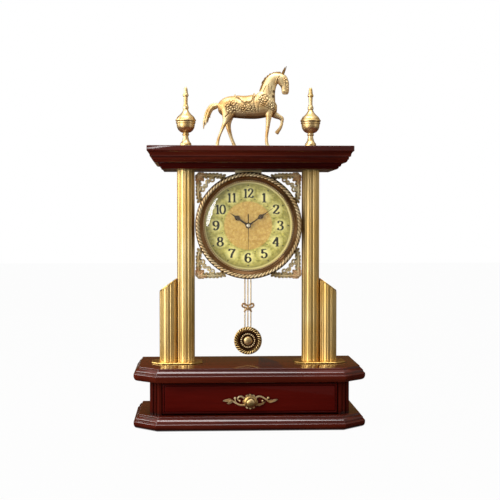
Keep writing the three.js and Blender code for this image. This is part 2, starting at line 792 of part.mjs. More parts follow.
const horseTrunk = [
  [-43.2, 58.5, 0, 5, 5, 0], [-39.5, 58.6, 0, 10, 9.5, 0], [-32, 58.8, 0, 14.4, 13, 0],
  [-20, 59.4, 0, 15.8, 14.4, 0], [-4, 58.4, 0, 16, 14.6, 0], [12, 59.8, 0, 17.4, 14, 0],
  [25, 60.8, 0, 16.2, 12.6, 0], [35, 59.4, 0, 11.4, 10, 0], [40.8, 57.8, 0, 5, 5.5, 0],
];
const horseNeck = [
  [24, 66, -14.5, 10.5, 10.4, 0], [27.6, 76.2, -10.8, 6, 8, 0], [29.6, 85.8, -8.8, 5.4, 6.6, 0],
  [33.4, 95.4, -6.8, 6.4, 5.8, 0], [40.2, 100.8, -3, 7, 5.6, 0], [47.6, 98.6, 4.4, 7, 5.8, 0],
  [52, 92, 5.6, 4.6, 4.9, 0], [52.8, 85.4, 5.4, 2.4, 4.1, 0], [52.8, 80.6, 5.2, 0.4, 3.8, 0],
  [52.8, 77.4, 3.6, 0, 2.6, 0],
];
const horseHindNear = [
  [-29, 58, 10, 0, 4.8, -8], [-28.8, 48, 9, 0.6, 4.8, -8.6], [-31, 39.6, 5.8, 0.6, 3.8, -8.6],
  [-35.4, 31.4, 3.3, 0.8, 2.9, -8.6], [-41.2, 18, 2.2, 0.4, 2.2, -8.6], [-44, 7.6, 2.4, 0.2, 2.5, -8.6],
  [-44.2, 3.8, 2.9, 0, 2.9, -8.6], [-44.4, 0, 3.8, 0, 3.5, -8.6],
];
const horseHindFar = [
  [-27.6, 58, 9, 0, 4.6, 8], [-27.8, 48, 8.4, 0, 4.7, 8.6], [-28.4, 38, 4.8, 0, 3.5, 8.6],
  [-28, 30, 3.6, 0, 2.9, 8.6], [-24.4, 17, 2.7, 0, 2.3, 8.6], [-20.4, 7, 2.7, 0, 2.6, 8.6],
  [-19, 3.4, 3, 0, 3, 8.6], [-17.8, 0, 4, 0, 3.6, 8.6],
];
const horseForeNear = [
  [29.5, 58, 6.5, 0, 4, -6.6], [29, 48, 4.8, 0, 3.8, -7], [28, 38, 3.5, 0, 3.1, -7],
  [27, 28, 2.7, 0, 2.6, -7], [25.6, 16, 2.2, 0, 2.1, -7], [26, 7.4, 2.5, 0, 2.5, -7],
  [27.6, 3.4, 3, 0, 2.9, -7], [28.6, 0, 3.9, 0, 3.5, -7],
];
const horseForeFar = [
  [33, 54, 3, 6, 4, 6.6], [39, 48.6, 2.2, 4.4, 3.6, 7], [44.8, 45.8, 1.2, 3.4, 3, 7],
  [48.6, 42.8, 2.6, 2, 2.8, 7], [48.4, 37.2, 2.1, -0.4, 2.2, 7], [46.6, 31, 2.1, -0.8, 2.2, 7],
  [43.8, 26.8, 2, -1.8, 2.5, 7], [40.4, 22.2, 2.4, -2, 2.9, 7],
];
const horseTail = [
  [-40, 61.4, -0.4, 2.6, 2.4, 0], [-48.6, 61.4, -1, 2.8, 2.6, 0], [-54.6, 56.4, -3, 2.4, 3, 0],
  [-57.6, 47, -4, 0.8, 3.2, 0], [-60.8, 37.2, -3, 0.2, 2.6, 0], [-63.8, 28.8, -1.1, 0, 1.2, 0],
];
const horseEar = [
  [45.4, 102.4, 2.4, 0, 1.6, -2.2], [50.2, 110.6, 1.6, -0.6, 1.1, -3], [54.4, 117.2, 0.3, -0.2, 0.3, -3.4],
];
const horseMane = [
  [14.5, 79.5, 2.6, -1.2, 1.4, 0], [18, 88, 2.6, -0.9, 1.6, 0], [23.4, 98.4, 2.6, -1.8, 1.6, 0],
  [33, 105.8, 1.4, -2.8, 1.5, 0], [44, 108.6, 0.4, -2.4, 1.2, 0],
];

function horse() {
  const farEar = horseEar.map(([x, z, dx, dz, width, y]) => [x - 1.5, z, dx, dz, width, -y]);
  const legs = [horseHindNear, horseHindFar, horseForeNear, horseForeFar].map((rows) => limb(rows, 6));
  return joined(limb(horseTrunk, 10), limb(horseNeck, 7), ...legs, limb(horseTail, 5),
    limb(horseEar, 5, 1), limb(farEar, 5, 1), limb(horseMane, 5, 1));
}

addPart(top, 'horse', horse(), antiqueGold);

// Clock head. Everything in this group is placed from the middle of the dial.
const head = addGroup(clock, 0, 0, headHeight);

// A leafy corner of the frame in the first quadrant: two scalloped arms whose tips reach the ring
function spandrelShape() {
  const edge = frameHalf - spandrelScallop;
  const start = frameHalf - spandrelReach;
  const tip = Math.sqrt(frameRingOuter ** 2 - start ** 2) - spandrelLap;
  const inner = frameHalf - spandrelArm;
  const bend = frameHalf - 2 * spandrelArm;
  const corner = frameHalf - spandrelBlock;
  const lobe = (edge - start) / spandrelLobes;
  const shape = new THREE.Shape();
  shape.moveTo(edge, start);
  for (let i = 0; i < spandrelLobes; i++) {
    const z = start + i * lobe;
    shape.quadraticCurveTo(edge + 2 * spandrelScallop, z + lobe / 2, edge, z + lobe);
  }
  for (let i = spandrelLobes; i > 0; i--) {
    const x = start + i * lobe;
    shape.quadraticCurveTo(x - lobe / 2, edge + 2 * spandrelScallop, x - lobe, edge);
  }
  shape.lineTo(start, tip);
  shape.quadraticCurveTo((start + bend) / 2, inner, bend, inner);
  shape.lineTo(corner, corner);
  shape.lineTo(inner, bend);
  shape.quadraticCurveTo(inner, (start + bend) / 2, tip, start);
  return shape;
}

// Open curls on the inner side of a corner: one on the diagonal and one on each arm
function spandrelCurls() {
  const places = [[armCurlAlong, armCurlIn], [armCurlIn, armCurlAlong], [cornerCurlIn, cornerCurlIn]];
  return places.map(([x, z]) => {
    const middle = [frameHalf - x, frameHalf - z];
    const curl = new THREE.Shape(roundCorners(...middle, curlRadius, smallSides));
    return standing(withHole(curl, ...middle, curlHole), frameFront, 0);
  });
}

function headFrame() {
  const ring = new THREE.Shape(roundCorners(0, 0, frameRingOuter, ringSides));
  withHole(ring, 0, 0, frameRingInner, ringSides);
  const half = frameTabWidth / 2;
  const tabFoot = Math.sqrt(frameRingOuter ** 2 - half ** 2) - spandrelLap;
  const tab = block(-half, half, frameFront, 0, tabFoot, headCeiling - seatGap);
  const corner = joined(standing(spandrelShape(), frameFront, 0, 2), ...spandrelCurls());
  const corners = [0, 1, 2, 3].map((turn) => corner.clone().rotateY(turn * Math.PI / 2));
  return joined(standing(ring, frameFront, 0), tab, ...corners);
}

addPart(head, 'head_frame', headFrame(), antiqueGold);

// Bezel: a flat seat for the rope rim, a sloped band and a step that holds the glass
const ropeSeatY = frameFront - bezelSeat;
const beadSeatY = frameFront - bezelSeat / 2 - 0.5;
const lensEdgeY = frameFront - lensThickness - seatGap;
const lensSeat = lensRadius + seatGap;
addPart(head, 'bezel', ringY(points2([lensSeat, frameFront], [bezelRadius - 0.5, frameFront],
  [bezelRadius, frameFront - 0.5], [bezelRadius, ropeSeatY], [bandOuter, ropeSeatY],
  [bandOuter, frameFront - bezelRise], [bandInner, beadSeatY - 1.2], [bandInner, beadSeatY],
  [bezelOpening, beadSeatY], [bezelOpening, lensEdgeY], [lensSeat, lensEdgeY])), bronze);

// Rope rim: a section with two strands that turns as it goes round
function ropeRing() {
  const steps = ropeSteps * ropeStrands;
  const rings = Array.from({ length: steps }, (_, k) => {
    const around = 2 * Math.PI * k / steps;
    return Array.from({ length: ropeSides }, (_unused, i) => {
      const angle = 2 * Math.PI * i / ropeSides;
      const radius = ropeRadius + ropeTwist * Math.cos(angle - ropeStrands * around);
      const out = ropeCircle + radius * Math.cos(angle);
      return new THREE.Vector3(out * Math.sin(around), radius * Math.sin(angle), out * Math.cos(around));
    });
  });
  return skinned(rings, true).translate(0, ropeSeatY - ropeRadius - ropeTwist - seatGap / 3, 0);
}

addPart(head, 'rope_ring', ropeRing(), rosyGold);

const beadY = beadSeatY - beadRadius - seatGap / 3;
addPart(head, 'bead_ring', ringY(roundCorners(beadCircle, beadY, beadRadius, beadSides)), antiqueGold);

// Glass: a thin dome with a flat rim held between the bezel and the frame
function lensProfile() {
  const rim = bezelOpening - 2 * seatGap;
  const back = frameFront - seatGap / 2;
  const front = back - lensThickness;
  const profile = new THREE.Path();
  profile.moveTo(0, back - lensDome);
  profile.quadraticCurveTo(rim * 0.5, back - lensDome, rim, back);
  profile.lineTo(lensRadius, back);
  profile.lineTo(lensRadius, front);
  profile.lineTo(rim, front);
  profile.quadraticCurveTo(rim * 0.5, front - lensDome, 0, front - lensDome);
  return profile.getPoints(curveSteps);
}

addPart(head, 'lens', turnedY(lensProfile()), glass);

// Pan: a spun cup behind the frame that carries the dial and the movement
const bushBore = bushRadius + boreGap;
const panInside = panRadius - panWall;
addPart(head, 'head_pan', ringY(points2([bushBore, panDepth - panWall], [panInside, panDepth - panWall],
  [panInside, 0], [panFlangeRadius, 0], [panFlangeRadius, panWall], [panRadius, panWall],
  [panRadius, panDepth], [bushBore, panDepth])), antiqueGold);
addPart(head, 'dial', ringY(points2([bushBore, dialFront], [panInside - seatGap, dialFront],
  [panInside - seatGap, dialFront + dialThickness], [bushBore, dialFront + dialThickness])), dialPaper);

// Strap that hangs the pan from the underside of the cornice
function headBracket() {
  const half = bracketWidth / 2;
  const foot = movementSize / 2 + bracketGap;
  const upright = block(-half, half, panDepth, panDepth + bracketThickness, foot, headCeiling);
  return joined(upright, block(-half, half, panDepth, panDepth + bracketFoot,
    headCeiling - bracketThickness, headCeiling));
}

addPart(head, 'head_bracket', headBracket(), steel);

// Movement case: a tray with a threaded bush in front and the pendulum yoke below
const movementHalf = movementSize / 2;
const cheekInner = hangerThickness / 2 + 2 * runGap;
const motionArborZ = gearModule * (pinionTeeth + motionTeeth) / 2;

function movementCase() {
  const inner = movementHalf - movementWall;
  const front = panDepth + movementWall;
  const back = movementBack - movementWall;
  const shell = block(-movementHalf, movementHalf, panDepth, back, -movementHalf, movementHalf);
  const hollow = block(-inner, inner, front, back + 1, -inner, inner);
  const bush = barY(bushRadius, panDepth - bushReach, front, turnedSides);
  const cheeks = [-1, 1].map((side) => {
    const y0 = pendulumPlane + side * cheekInner;
    const y1 = y0 + side * yokeWall;
    return block(-yokeWidth / 2, yokeWidth / 2, Math.min(y0, y1), Math.max(y0, y1),
      pivotZ - yokeWidth / 2, -movementHalf + 0.5);
  });
  const pinBore = barY(pivotRadius + runGap, panDepth, back, smallSides).translate(0, 0, pivotZ);
  const shaftBore = barY(hourTubeRadius + tubeGap, panDepth - bushReach - 1, front + 1, turnedSides);
  return cut(joined(cut(shell, hollow), bush, ...cheeks), pinBore, shaftBore);
}

addPart(head, 'movement_case', movementCase(), blackPlastic);

function movementCover() {
  const shape = new THREE.Shape(rectangle(movementSize, movementSize));
  const [x, z] = [cellLength / 2 + 1, cellRadius - 1];
  const window = points2([-x, -cellDrop - z], [x, -cellDrop - z], [x, -cellDrop + z], [-x, -cellDrop + z]);
  shape.holes.push(new THREE.Path(window));
  withHole(shape, 0, motionArborZ, motionArborRadius + boreGap);
  return standing(shape, movementBack - movementWall, movementBack);
}

addPart(head, 'movement_cover', movementCover(), blackPlastic);
const nutShape = new THREE.Shape(roundCorners(0, 0, nutRadius, 6));
addPart(head, 'mounting_nut', standing(withHole(nutShape, 0, 0, bushRadius + tubeGap, turnedSides),
  dialFront - nutHeight, dialFront), brass);

// Cell and stepping motor, closed units that fill the rest of the tray
const cellY = panDepth + movementDepth / 2;

function cell() {
  const [half, nub] = [cellLength / 2, cellRadius * 0.38];
  const profile = points2([0, -half], [cellRadius, -half], [cellRadius, half - 1.5], [nub, half - 1.5],
    [nub, half], [0, half]);
  return turnedY(profile, turnedSides).rotateZ(-Math.PI / 2).translate(0, cellY, -cellDrop);
}

addPart(head, 'battery', cell(), cellJacket);

function motorBlock() {
  const inner = movementHalf - movementWall - seatGap;
  const y0 = panDepth + movementWall + seatGap;
  const armY = y0 + 4 * wheelThickness + 0.5;
  const body = block(-inner, -inner + motorWidth, y0, y0 + motorDepth, inner - motorHeight, inner);
  const arm = block(-inner + motorWidth - 1, 4, armY, y0 + motorDepth, -5, 5);
  return joined(body, arm);
}

addPart(head, 'motor_block', motorBlock(), whitePlastic);

// Gears: straight-sided teeth, the first one pointing up unless turned by half a pitch
function gearShape(teeth, size, halfPitch = false) {
  const pitch = 2 * Math.PI / teeth;
  const pitchRadius = teeth * size / 2;
  const [outer, root] = [pitchRadius + gearAddendum * size, pitchRadius - gearDedendum * size];
  const corners = [];
  for (let i = 0; i < teeth; i++) {
    const middle = Math.PI / 2 + pitch * (i + (halfPitch ? 0.5 : 0));
    for (const [radius, share] of [[root, -toothRootShare], [outer, -toothTipShare],
      [outer, toothTipShare], [root, toothRootShare]]) {
      const angle = middle + share * pitch / 2;
      corners.push(new THREE.Vector2(radius * Math.cos(angle), radius * Math.sin(angle)));
    }
  }
  return new THREE.Shape(corners);
}

const hourModule = gearModule * (pinionTeeth + motionTeeth) / (pinionTeeth + hourTeeth);
const hourWheelY = panDepth + movementWall + 2 * runGap;
const motionWheelY = hourWheelY + wheelThickness + 3 * runGap;

function hourWheel() {
  const wheel = standing(gearShape(hourTeeth, hourModule, true), hourWheelY, hourWheelY + wheelThickness);
  const shaft = barY(hourTubeRadius, hourHandY - handThickness, hourWheelY + wheelThickness);
  const bore = barY(cannonRadius + tubeGap, hourHandY - 2, hourWheelY + wheelThickness + 1);
  return cut(joined(wheel, shaft), bore);
}

function cannonPinion() {
  const pinion = standing(gearShape(pinionTeeth, gearModule), motionWheelY - runGap,
    motionWheelY + wheelThickness + runGap);
  const shaft = barY(cannonRadius, minuteHandY - handThickness, motionWheelY + wheelThickness);
  const bore = barY(secondArborRadius + tubeGap, minuteHandY - 2, motionWheelY + wheelThickness + 1);
  return cut(joined(pinion, shaft), bore);
}

function motionWheel() {
  const teeth = gearShape(motionTeeth, gearModule, true);
  const wheel = standing(teeth, motionWheelY, motionWheelY + wheelThickness);
  const pinion = standing(gearShape(pinionTeeth, hourModule, pinionTeeth % 2 === 1),
    hourWheelY - runGap, motionWheelY + 0.2);
  const arbor = barY(motionArborRadius, hourWheelY - runGap, movementBack + settingKnobHeight);
  return joined(wheel, pinion, arbor);
}

function settingKnob() {
  const y0 = movementBack + seatGap;
  const knurl = gearShape(turnedSides, 2 * settingKnobRadius / turnedSides);
  const shape = withHole(knurl, 0, 0, motionArborRadius + tubeGap);
  return standing(shape, y0, y0 + settingKnobHeight);
}

addPart(head, 'hour_wheel', hourWheel(), brass);
addPart(head, 'cannon_pinion', cannonPinion(), brass);
const motionArbor = addGroup(head, 0, 0, motionArborZ);
addPart(motionArbor, 'motion_wheel', motionWheel(), brass);
addPart(motionArbor, 'setting_knob', settingKnob(), blackPlastic);

// Hands: a slim shaft with a pointed swelling on a round hub
function handShape(length, [swellStart, swellEnd, swellHalf], shaftHalf, bore) {
  const shoulder = Math.sqrt(handHubRadius ** 2 - shaftHalf ** 2);
  const middle = (swellStart + swellEnd) / 2;
  const needle = shaftHalf * 0.45;
  const shape = new THREE.Shape();
  shape.moveTo(shaftHalf, shoulder);
  shape.lineTo(shaftHalf * 0.8, swellStart);
  shape.quadraticCurveTo(swellHalf, swellStart, swellHalf, middle);
  shape.quadraticCurveTo(needle * 1.6, middle + needle, needle, swellEnd);
  shape.lineTo(handTipHalf, length);
  shape.lineTo(-handTipHalf, length);
  shape.lineTo(-needle, swellEnd);
  shape.quadraticCurveTo(-needle * 1.6, middle + needle, -swellHalf, middle);
  shape.quadraticCurveTo(-swellHalf, swellStart, -shaftHalf * 0.8, swellStart);
  shape.lineTo(-shaftHalf, shoulder);
  const left = Math.atan2(shoulder, -shaftHalf);
  shape.absarc(0, 0, handHubRadius, left, 3 * Math.PI - left, false);
  return withHole(shape, 0, 0, bore);
}

function hand(shape, y) {
  return standing(shape, y - handThickness / 2, y + handThickness / 2);
}

const hourSwell = [hourSwellStart, hourSwellEnd, hourSwellHalf];
const hourShape = handShape(hourHandLength, hourSwell, hourShaftHalf, hourTubeRadius + tubeGap);
const hourHand = addPart(head, 'hour_hand', hand(hourShape, hourHandY), darkBronze);
const minuteSwell = [minuteSwellStart, minuteSwellEnd, minuteSwellHalf];
const minuteShape = handShape(minuteHandLength, minuteSwell, minuteShaftHalf, cannonRadius + tubeGap);
const minuteHand = addPart(head, 'minute_hand', hand(minuteShape, minuteHandY), darkBronze);

// Second hand: needle, counterweight, cap and arbor in one piece
function secondHand() {
  const [tip, waist, tail] = [handTipHalf, secondArborRadius, secondTailHalf];
  const needle = new THREE.Shape(points2([-tail, -secondHandTail], [tail, -secondHandTail], [waist, 0],
    [tip, secondHandLength], [-tip, secondHandLength], [-waist, 0]));
  const capFront = secondHandY - handThickness / 2 - handCapRise;
  const arborEnd = motionWheelY + wheelThickness + 2 * runGap;
  const cap = new THREE.Path();
  cap.moveTo(0, arborEnd);
  cap.lineTo(secondArborRadius, arborEnd);
  cap.lineTo(secondArborRadius, secondHandY);
  cap.lineTo(handCapRadius, secondHandY);
  cap.quadraticCurveTo(handCapRadius, capFront, 0, capFront);
  return joined(hand(needle, secondHandY), turnedY(cap.getPoints(curveSteps), smallSides));
}

const secondPart = addPart(head, 'second_hand', secondHand(), darkBronze);

// The hands stand at their rest time, clockwise from twelve as seen from the front
const secondTurn = 2 * Math.PI * restSecond / 60;
const minuteTurn = 2 * Math.PI * restMinute / 60;
const hourTurn = 2 * Math.PI * (restHour + restMinute / 60) / 12;
hourHand.rotation.y = hourTurn;
minuteHand.rotation.y = minuteTurn;
secondPart.rotation.y = secondTurn;

// Pendulum: a pin in the yoke, a hanger, a grid of three rods, a bow and the round bob
const pendulum = addGroup(head, 0, pendulumPlane, pivotZ);
const pinHalf = cheekInner + yokeWall + seatGap;
addPart(pendulum, 'pendulum_pin', barY(pivotRadius, -pinHalf, pinHalf), steel);
const gridTop = -hangerLength + gridBarHeight;
const gridHalf = gridRodPitch + gridRodRadius + 0.6;

function hanger() {
  const half = hangerWidth / 2;
  const shape = new THREE.Shape();
  shape.moveTo(-half, 0);
  shape.lineTo(-half, gridTop + seatGap);
  shape.lineTo(half, gridTop + seatGap);
  shape.lineTo(half, 0);
  shape.absarc(0, 0, half, 0, Math.PI, false);
  return standing(withHole(shape, 0, 0, pivotRadius + runGap), -hangerThickness / 2, hangerThickness / 2);
}

addPart(pendulum, 'pendulum_hanger', hanger(), steel);
const bobDrop = bobHeight - headHeight - pivotZ;
const bowDrop = bowHeight - headHeight - pivotZ;

function grid() {
  const rods = [-1, 0, 1].map((side) => (
    barZ(gridRodRadius, bobDrop - gridBarHeight / 2, gridTop - 1, 8).translate(side * gridRodPitch, 0, 0)
  ));
  const bars = [gridTop - gridBarHeight, bobDrop - gridBarHeight].map((z) => (
    block(-gridHalf, gridHalf, -gridRodRadius, gridRodRadius, z, z + gridBarHeight)
  ));
  return joined(...bars, ...rods);
}

addPart(pendulum, 'pendulum_grid', grid(), brass);

function bowShape() {
  const [x, z] = [-bowWidth / 2, bowTall / 2];
  const shape = new THREE.Shape();
  shape.moveTo(0, z * 0.35);
  shape.bezierCurveTo(x * 0.3, z * 1.3, x, z * 1.2, x, z * 0.35);
  shape.bezierCurveTo(x, -z * 0.1, x * 0.4, -z * 0.1, x * 0.2, -z * 0.05);
  shape.lineTo(x * 0.75, -z);
  shape.lineTo(x * 0.35, -z);
  shape.lineTo(0, -z * 0.35);
  shape.lineTo(-x * 0.35, -z);
  shape.lineTo(-x * 0.75, -z);
  shape.lineTo(-x * 0.2, -z * 0.05);
  shape.bezierCurveTo(-x * 0.4, -z * 0.1, -x, -z * 0.1, -x, z * 0.35);
  shape.bezierCurveTo(-x, z * 1.2, -x * 0.3, z * 1.3, 0, z * 0.35);
  for (const side of [-1, 1]) {
    withHole(shape, side * x * 0.58, z * 0.45, z * 0.24);
  }
  return shape;
}

const bobBack = -gridRodRadius - seatGap;
addPart(pendulum, 'pendulum_bow', standing(bowShape(), bobBack - bowThickness, bobBack)
  .translate(0, 0, bowDrop), copper);

// Bob: a dished disc, a rounded rim set on its edge and a domed boss in the middle
const bob = addGroup(pendulum, 0, bobBack, bobDrop);
const bobEdge = bobRadius - 2 * bobRimRadius;
const bobDish = -bobThickness * 0.4;
const bobLine = points2([0, bobDish], [bobBossRadius + 3, bobDish], [bobBossRadius + 4, -bobThickness * 0.7],
  [bobEdge - 1.5, -bobThickness], [bobEdge - seatGap, -bobThickness], [bobEdge - seatGap, -bobLedge],
  [bobRadius - 1, -bobLedge], [bobRadius - 1, 0], [0, 0]);
addPart(bob, 'pendulum_bob', turnedY(bobLine, 2 * turnedSides), bronze);
const bobRimY = -bobLedge - seatGap - bobRimRadius;
addPart(bob, 'bob_rim', ringY(roundCorners(bobRadius - bobRimRadius, bobRimY, bobRimRadius, bobRimSides),
  2 * turnedSides), brass);
const bossSeat = bobDish - seatGap / 3;
const bossProfile = new THREE.Path();
bossProfile.moveTo(0, bossSeat);
bossProfile.lineTo(bobBossRadius, bossSeat);
bossProfile.quadraticCurveTo(bobBossRadius, bossSeat - 3.4, 0, bossSeat - 3.4);
addPart(bob, 'bob_boss', turnedY(bossProfile.getPoints(curveSteps), turnedSides), brass);

export default clock;
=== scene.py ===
# %% [markdown]
# # A table clock of lacquered wood and brass
#
# Four fluted brass columns stand on a wooden base with one drawer. They carry a moulded cornice with two
# turned finials and a cast walking horse, and a round clock head hangs between them over a pendulum.
# The solids of all these pieces arrive packed as a fixed frame. This lesson dresses them: each piece made
# here takes the place of a solid, in the same axes, X to the right, Y to the back and Z up.

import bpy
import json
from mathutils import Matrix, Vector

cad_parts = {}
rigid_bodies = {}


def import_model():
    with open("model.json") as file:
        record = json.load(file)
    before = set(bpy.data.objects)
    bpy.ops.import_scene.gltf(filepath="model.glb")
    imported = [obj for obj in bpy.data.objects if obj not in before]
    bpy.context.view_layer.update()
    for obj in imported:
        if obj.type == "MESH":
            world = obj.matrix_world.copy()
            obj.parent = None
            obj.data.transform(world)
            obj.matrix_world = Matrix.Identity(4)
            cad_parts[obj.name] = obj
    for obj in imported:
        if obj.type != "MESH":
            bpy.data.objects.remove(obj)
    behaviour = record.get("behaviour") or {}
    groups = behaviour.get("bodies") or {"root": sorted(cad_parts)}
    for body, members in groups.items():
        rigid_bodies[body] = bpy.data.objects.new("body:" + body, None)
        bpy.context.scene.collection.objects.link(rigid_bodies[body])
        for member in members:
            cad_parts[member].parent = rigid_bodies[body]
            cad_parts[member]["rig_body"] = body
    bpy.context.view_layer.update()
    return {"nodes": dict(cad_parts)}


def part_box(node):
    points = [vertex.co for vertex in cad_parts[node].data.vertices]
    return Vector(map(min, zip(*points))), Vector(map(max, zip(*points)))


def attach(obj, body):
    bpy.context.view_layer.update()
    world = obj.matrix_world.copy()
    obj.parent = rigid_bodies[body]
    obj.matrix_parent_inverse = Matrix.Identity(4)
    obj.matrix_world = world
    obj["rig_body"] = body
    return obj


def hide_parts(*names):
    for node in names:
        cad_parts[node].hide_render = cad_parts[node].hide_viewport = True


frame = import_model()
print("solids in the frame:", len(frame["nodes"]))

# %% Other modules
import json
import math

import bmesh
import bpy
from mathutils import Matrix, Vector
from mathutils.bvhtree import BVHTree

# %% [markdown]
# ## Reading sizes from the frame
#
# Shapes below are written in millimetres, because the clock was measured that way. The frame is in metres,
# so one function reads a solid's corners in millimetres, and the last step of every mesh scales it back.

# %% Sizes
MM = 0.001
TAU = math.tau


def corners(node):
    low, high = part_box(node)
    return low / MM, high / MM


def middle(node):
    low, high = corners(node)
    return (low + high) / 2


def half_width(node):
    low, high = corners(node)
    return (high.x - low.x) / 2


def front_and_back(node):
    low, high = corners(node)
    return low.y, high.y


def underside(node):
    """The middle of a solid's lowest face."""
    place = middle(node)
    place.z = corners(node)[0].z
    return place


head = middle("bezel")
print("middle of the dial, mm:", [round(v, 2) for v in head])

# %% [markdown]
# ## Camera
#
# The photograph is taken from far away with a long lens, a little to the left and a little above the
# middle of the clock: the insides of both column pairs show, and so does the top of the base.

# %% Camera
CAMERA_PLACE = Vector((-75.7, -1650, 290)) * MM
CAMERA_AIM = Vector((2.4, 0, 246)) * MM
FOCAL_LENGTH, SENSOR_WIDTH = 83.25, 36
lens = bpy.data.cameras.new("camera")
lens.lens, lens.sensor_width = FOCAL_LENGTH, SENSOR_WIDTH
camera = bpy.data.objects.new("camera", lens)
camera.location = CAMERA_PLACE
camera.rotation_euler = (CAMERA_AIM - CAMERA_PLACE).to_track_quat("-Z", "Y").to_euler()
bpy.context.scene.collection.objects.link(camera)
bpy.context.scene.camera = camera
print("camera", round((CAMERA_AIM - CAMERA_PLACE).length, 3), "m from its aim")

# %% [markdown]
# ## One function for nodes, one for colours
#
# Materials, the world and the Geometry Nodes trees are all node trees. One function adds a node, gives it
# its settings, sets or links its sockets, and hands on the output that is used next. Colours are written as
# sRGB hex and turned to linear once.

# %% Nodes and colours


def add(tree, kind, sockets=(), output=0, **settings):
    """Adds a node, sets or links its sockets, and gives back one output, or the node where that is None."""
    node = tree.nodes.new(kind)
    for key, value in settings.items():
        setattr(node, key, value)
    for key, value in dict(sockets).items():
        if isinstance(value, bpy.types.NodeSocket):
            tree.links.new(value, node.inputs[key])
        else:
            node.inputs[key].default_value = value
    return node if output is None else node.outputs[output]


def colour(code):
    parts = [int(code[i:i + 2], 16) / 255 for i in (1, 3, 5)]
    return [c / 12.92 if c <= 0.04045 else ((c + 0.055) / 1.055) ** 2.4 for c in parts] + [1]


def new_finish(name, sockets):
    """A new material and its tree; the sockets are those of its shader."""
    material = bpy.data.materials.new(name)
    material.use_nodes = True
    tree = material.node_tree
    for key, value in sockets.items():
        tree.nodes["Principled BSDF"].inputs[key].default_value = value
    return material, tree


def feed(tree, sockets, node="Principled BSDF"):
    """Links values to sockets of a node that the tree already has."""
    for key, value in sockets.items():
        tree.links.new(value, tree.nodes[node].inputs[key])


print("mid brass, linear:", [round(c, 3) for c in colour("#d8ab58")])

# %% [markdown]
# ## Studio
#
# The clock stands on white paper in soft light from the left. The world is white to the eye, to mirrors and
# through glass, and a softer grey as a lamp, so the paper stays white without more light on the clock.
# Polished brass and gloss lacquer look flat when they mirror nothing but white, so photographers put up
# dark cards, called flags. Six flags do that here: in front, to both sides, behind, on the table before the
# clock, and one between the columns, which gives each column a dark inner edge. They are glowing sheets of
# set shades, dark and pale, that light nothing and that only mirror rays see: painted reflections.

# %% World
world = bpy.data.worlds.new("white studio")
world.use_nodes = True
bpy.context.scene.world = world
bpy.context.scene.view_settings.view_transform = "Standard"
WORLD_LIGHT = 0.3


def seen_white(tree):
    """One on camera, mirror and glass rays, nothing on the rays that carry light to a surface."""
    path = add(tree, "ShaderNodeLightPath", output=None).outputs
    share = path["Is Camera Ray"]
    for kind in ("Is Glossy Ray", "Is Transmission Ray"):
        share = add(tree, "ShaderNodeMath", {0: share, 1: path[kind]}, operation="MAXIMUM")
    return share


sky = world.node_tree
sky.nodes["Background"].inputs["Color"].default_value = (1, 1, 1, 1)
strength = add(sky, "ShaderNodeMapRange", {0: seen_white(sky), 3: WORLD_LIGHT, 4: 1.0})
feed(sky, {"Strength": strength}, "Background")
print("world gives", WORLD_LIGHT, "as light")

# %% Lamps
GLASS_LEAN = math.radians(-18)


def softbox(name, place, aim, size, power, lean=0.0):
    lamp = bpy.data.lights.new(name, "AREA")
    lamp.shape = "RECTANGLE"
    lamp.size, lamp.size_y = size
    lamp.energy = power
    lamp_object = bpy.data.objects.new(name, lamp)
    lamp_object.location = place
    facing = (Vector(aim) - Vector(place)).to_track_quat("-Z", "Y").to_matrix()
    lamp_object.rotation_euler = (facing @ Matrix.Rotation(lean, 3, "Z")).to_euler()
    bpy.context.scene.collection.objects.link(lamp_object)


softbox("left_softbox", (-1.5, -1.2, 0.7), (0, 0, 0.25), (1.2, 1.4), 27)
softbox("top_softbox", (-0.2, -0.45, 1.9), (0, -0.1, 0.2), (1.6, 0.5), 26)
softbox("right_softbox", (1.7, -0.9, 0.6), (0, 0, 0.25), (0.4, 1.2), 3)
softbox("side_softbox", (-1.6, 0.3, 0.9), (0, 0, 0.1), (0.6, 0.5), 10)
softbox("glass_softbox", (-0.54, -1.95, 0.5), (0, 0, 0.28), (0.075, 0.5), 1.4, GLASS_LEAN)
print("five softboxes")

# %% Floor and flags
FLOOR_WHITE = 0.97


def stage_sheet(name, corner_points, material):
    sheet = bpy.data.meshes.new(name)
    sheet.from_pydata(corner_points, [], [(0, 1, 2, 3)])
    sheet.materials.append(material)
    piece = bpy.data.objects.new(name, sheet)
    bpy.context.scene.collection.objects.link(piece)
    return piece


def white_paper():
    """Matt white paper: it takes the shadow, and turns towards plain white for the eye and mirrors."""
    material, tree = new_finish("white paper", {"Base Color": colour("#9c9a96"), "Roughness": 0.9})
    place = add(tree, "ShaderNodeTexCoord", output="Object")
    fibres = add(tree, "ShaderNodeTexNoise", {"Vector": place, "Scale": 900})
    feed(tree, {"Normal": add(tree, "ShaderNodeBump", {"Height": fibres, "Strength": 0.05})})
    glow = add(tree, "ShaderNodeEmission", {"Color": (1, 1, 1, 1), "Strength": 1.0})
    share = add(tree, "ShaderNodeMath", {0: seen_white(tree), 1: FLOOR_WHITE}, operation="MULTIPLY")
    matt = tree.nodes["Principled BSDF"].outputs[0]
    mixed = add(tree, "ShaderNodeMixShader", {0: share, 1: matt, 2: glow})
    feed(tree, {"Surface": mixed}, "Material Output")
    return material


# Painted reflection: a flag glows with its set shade and is not lit by the lamps.
def flag_cloth(name, shade):
    material, tree = new_finish(name, {"Base Color": (0, 0, 0, 1)})
    glow = add(tree, "ShaderNodeEmission", {"Color": colour(shade), "Strength": 1.0})
    feed(tree, {"Surface": glow}, "Material Output")
    return material


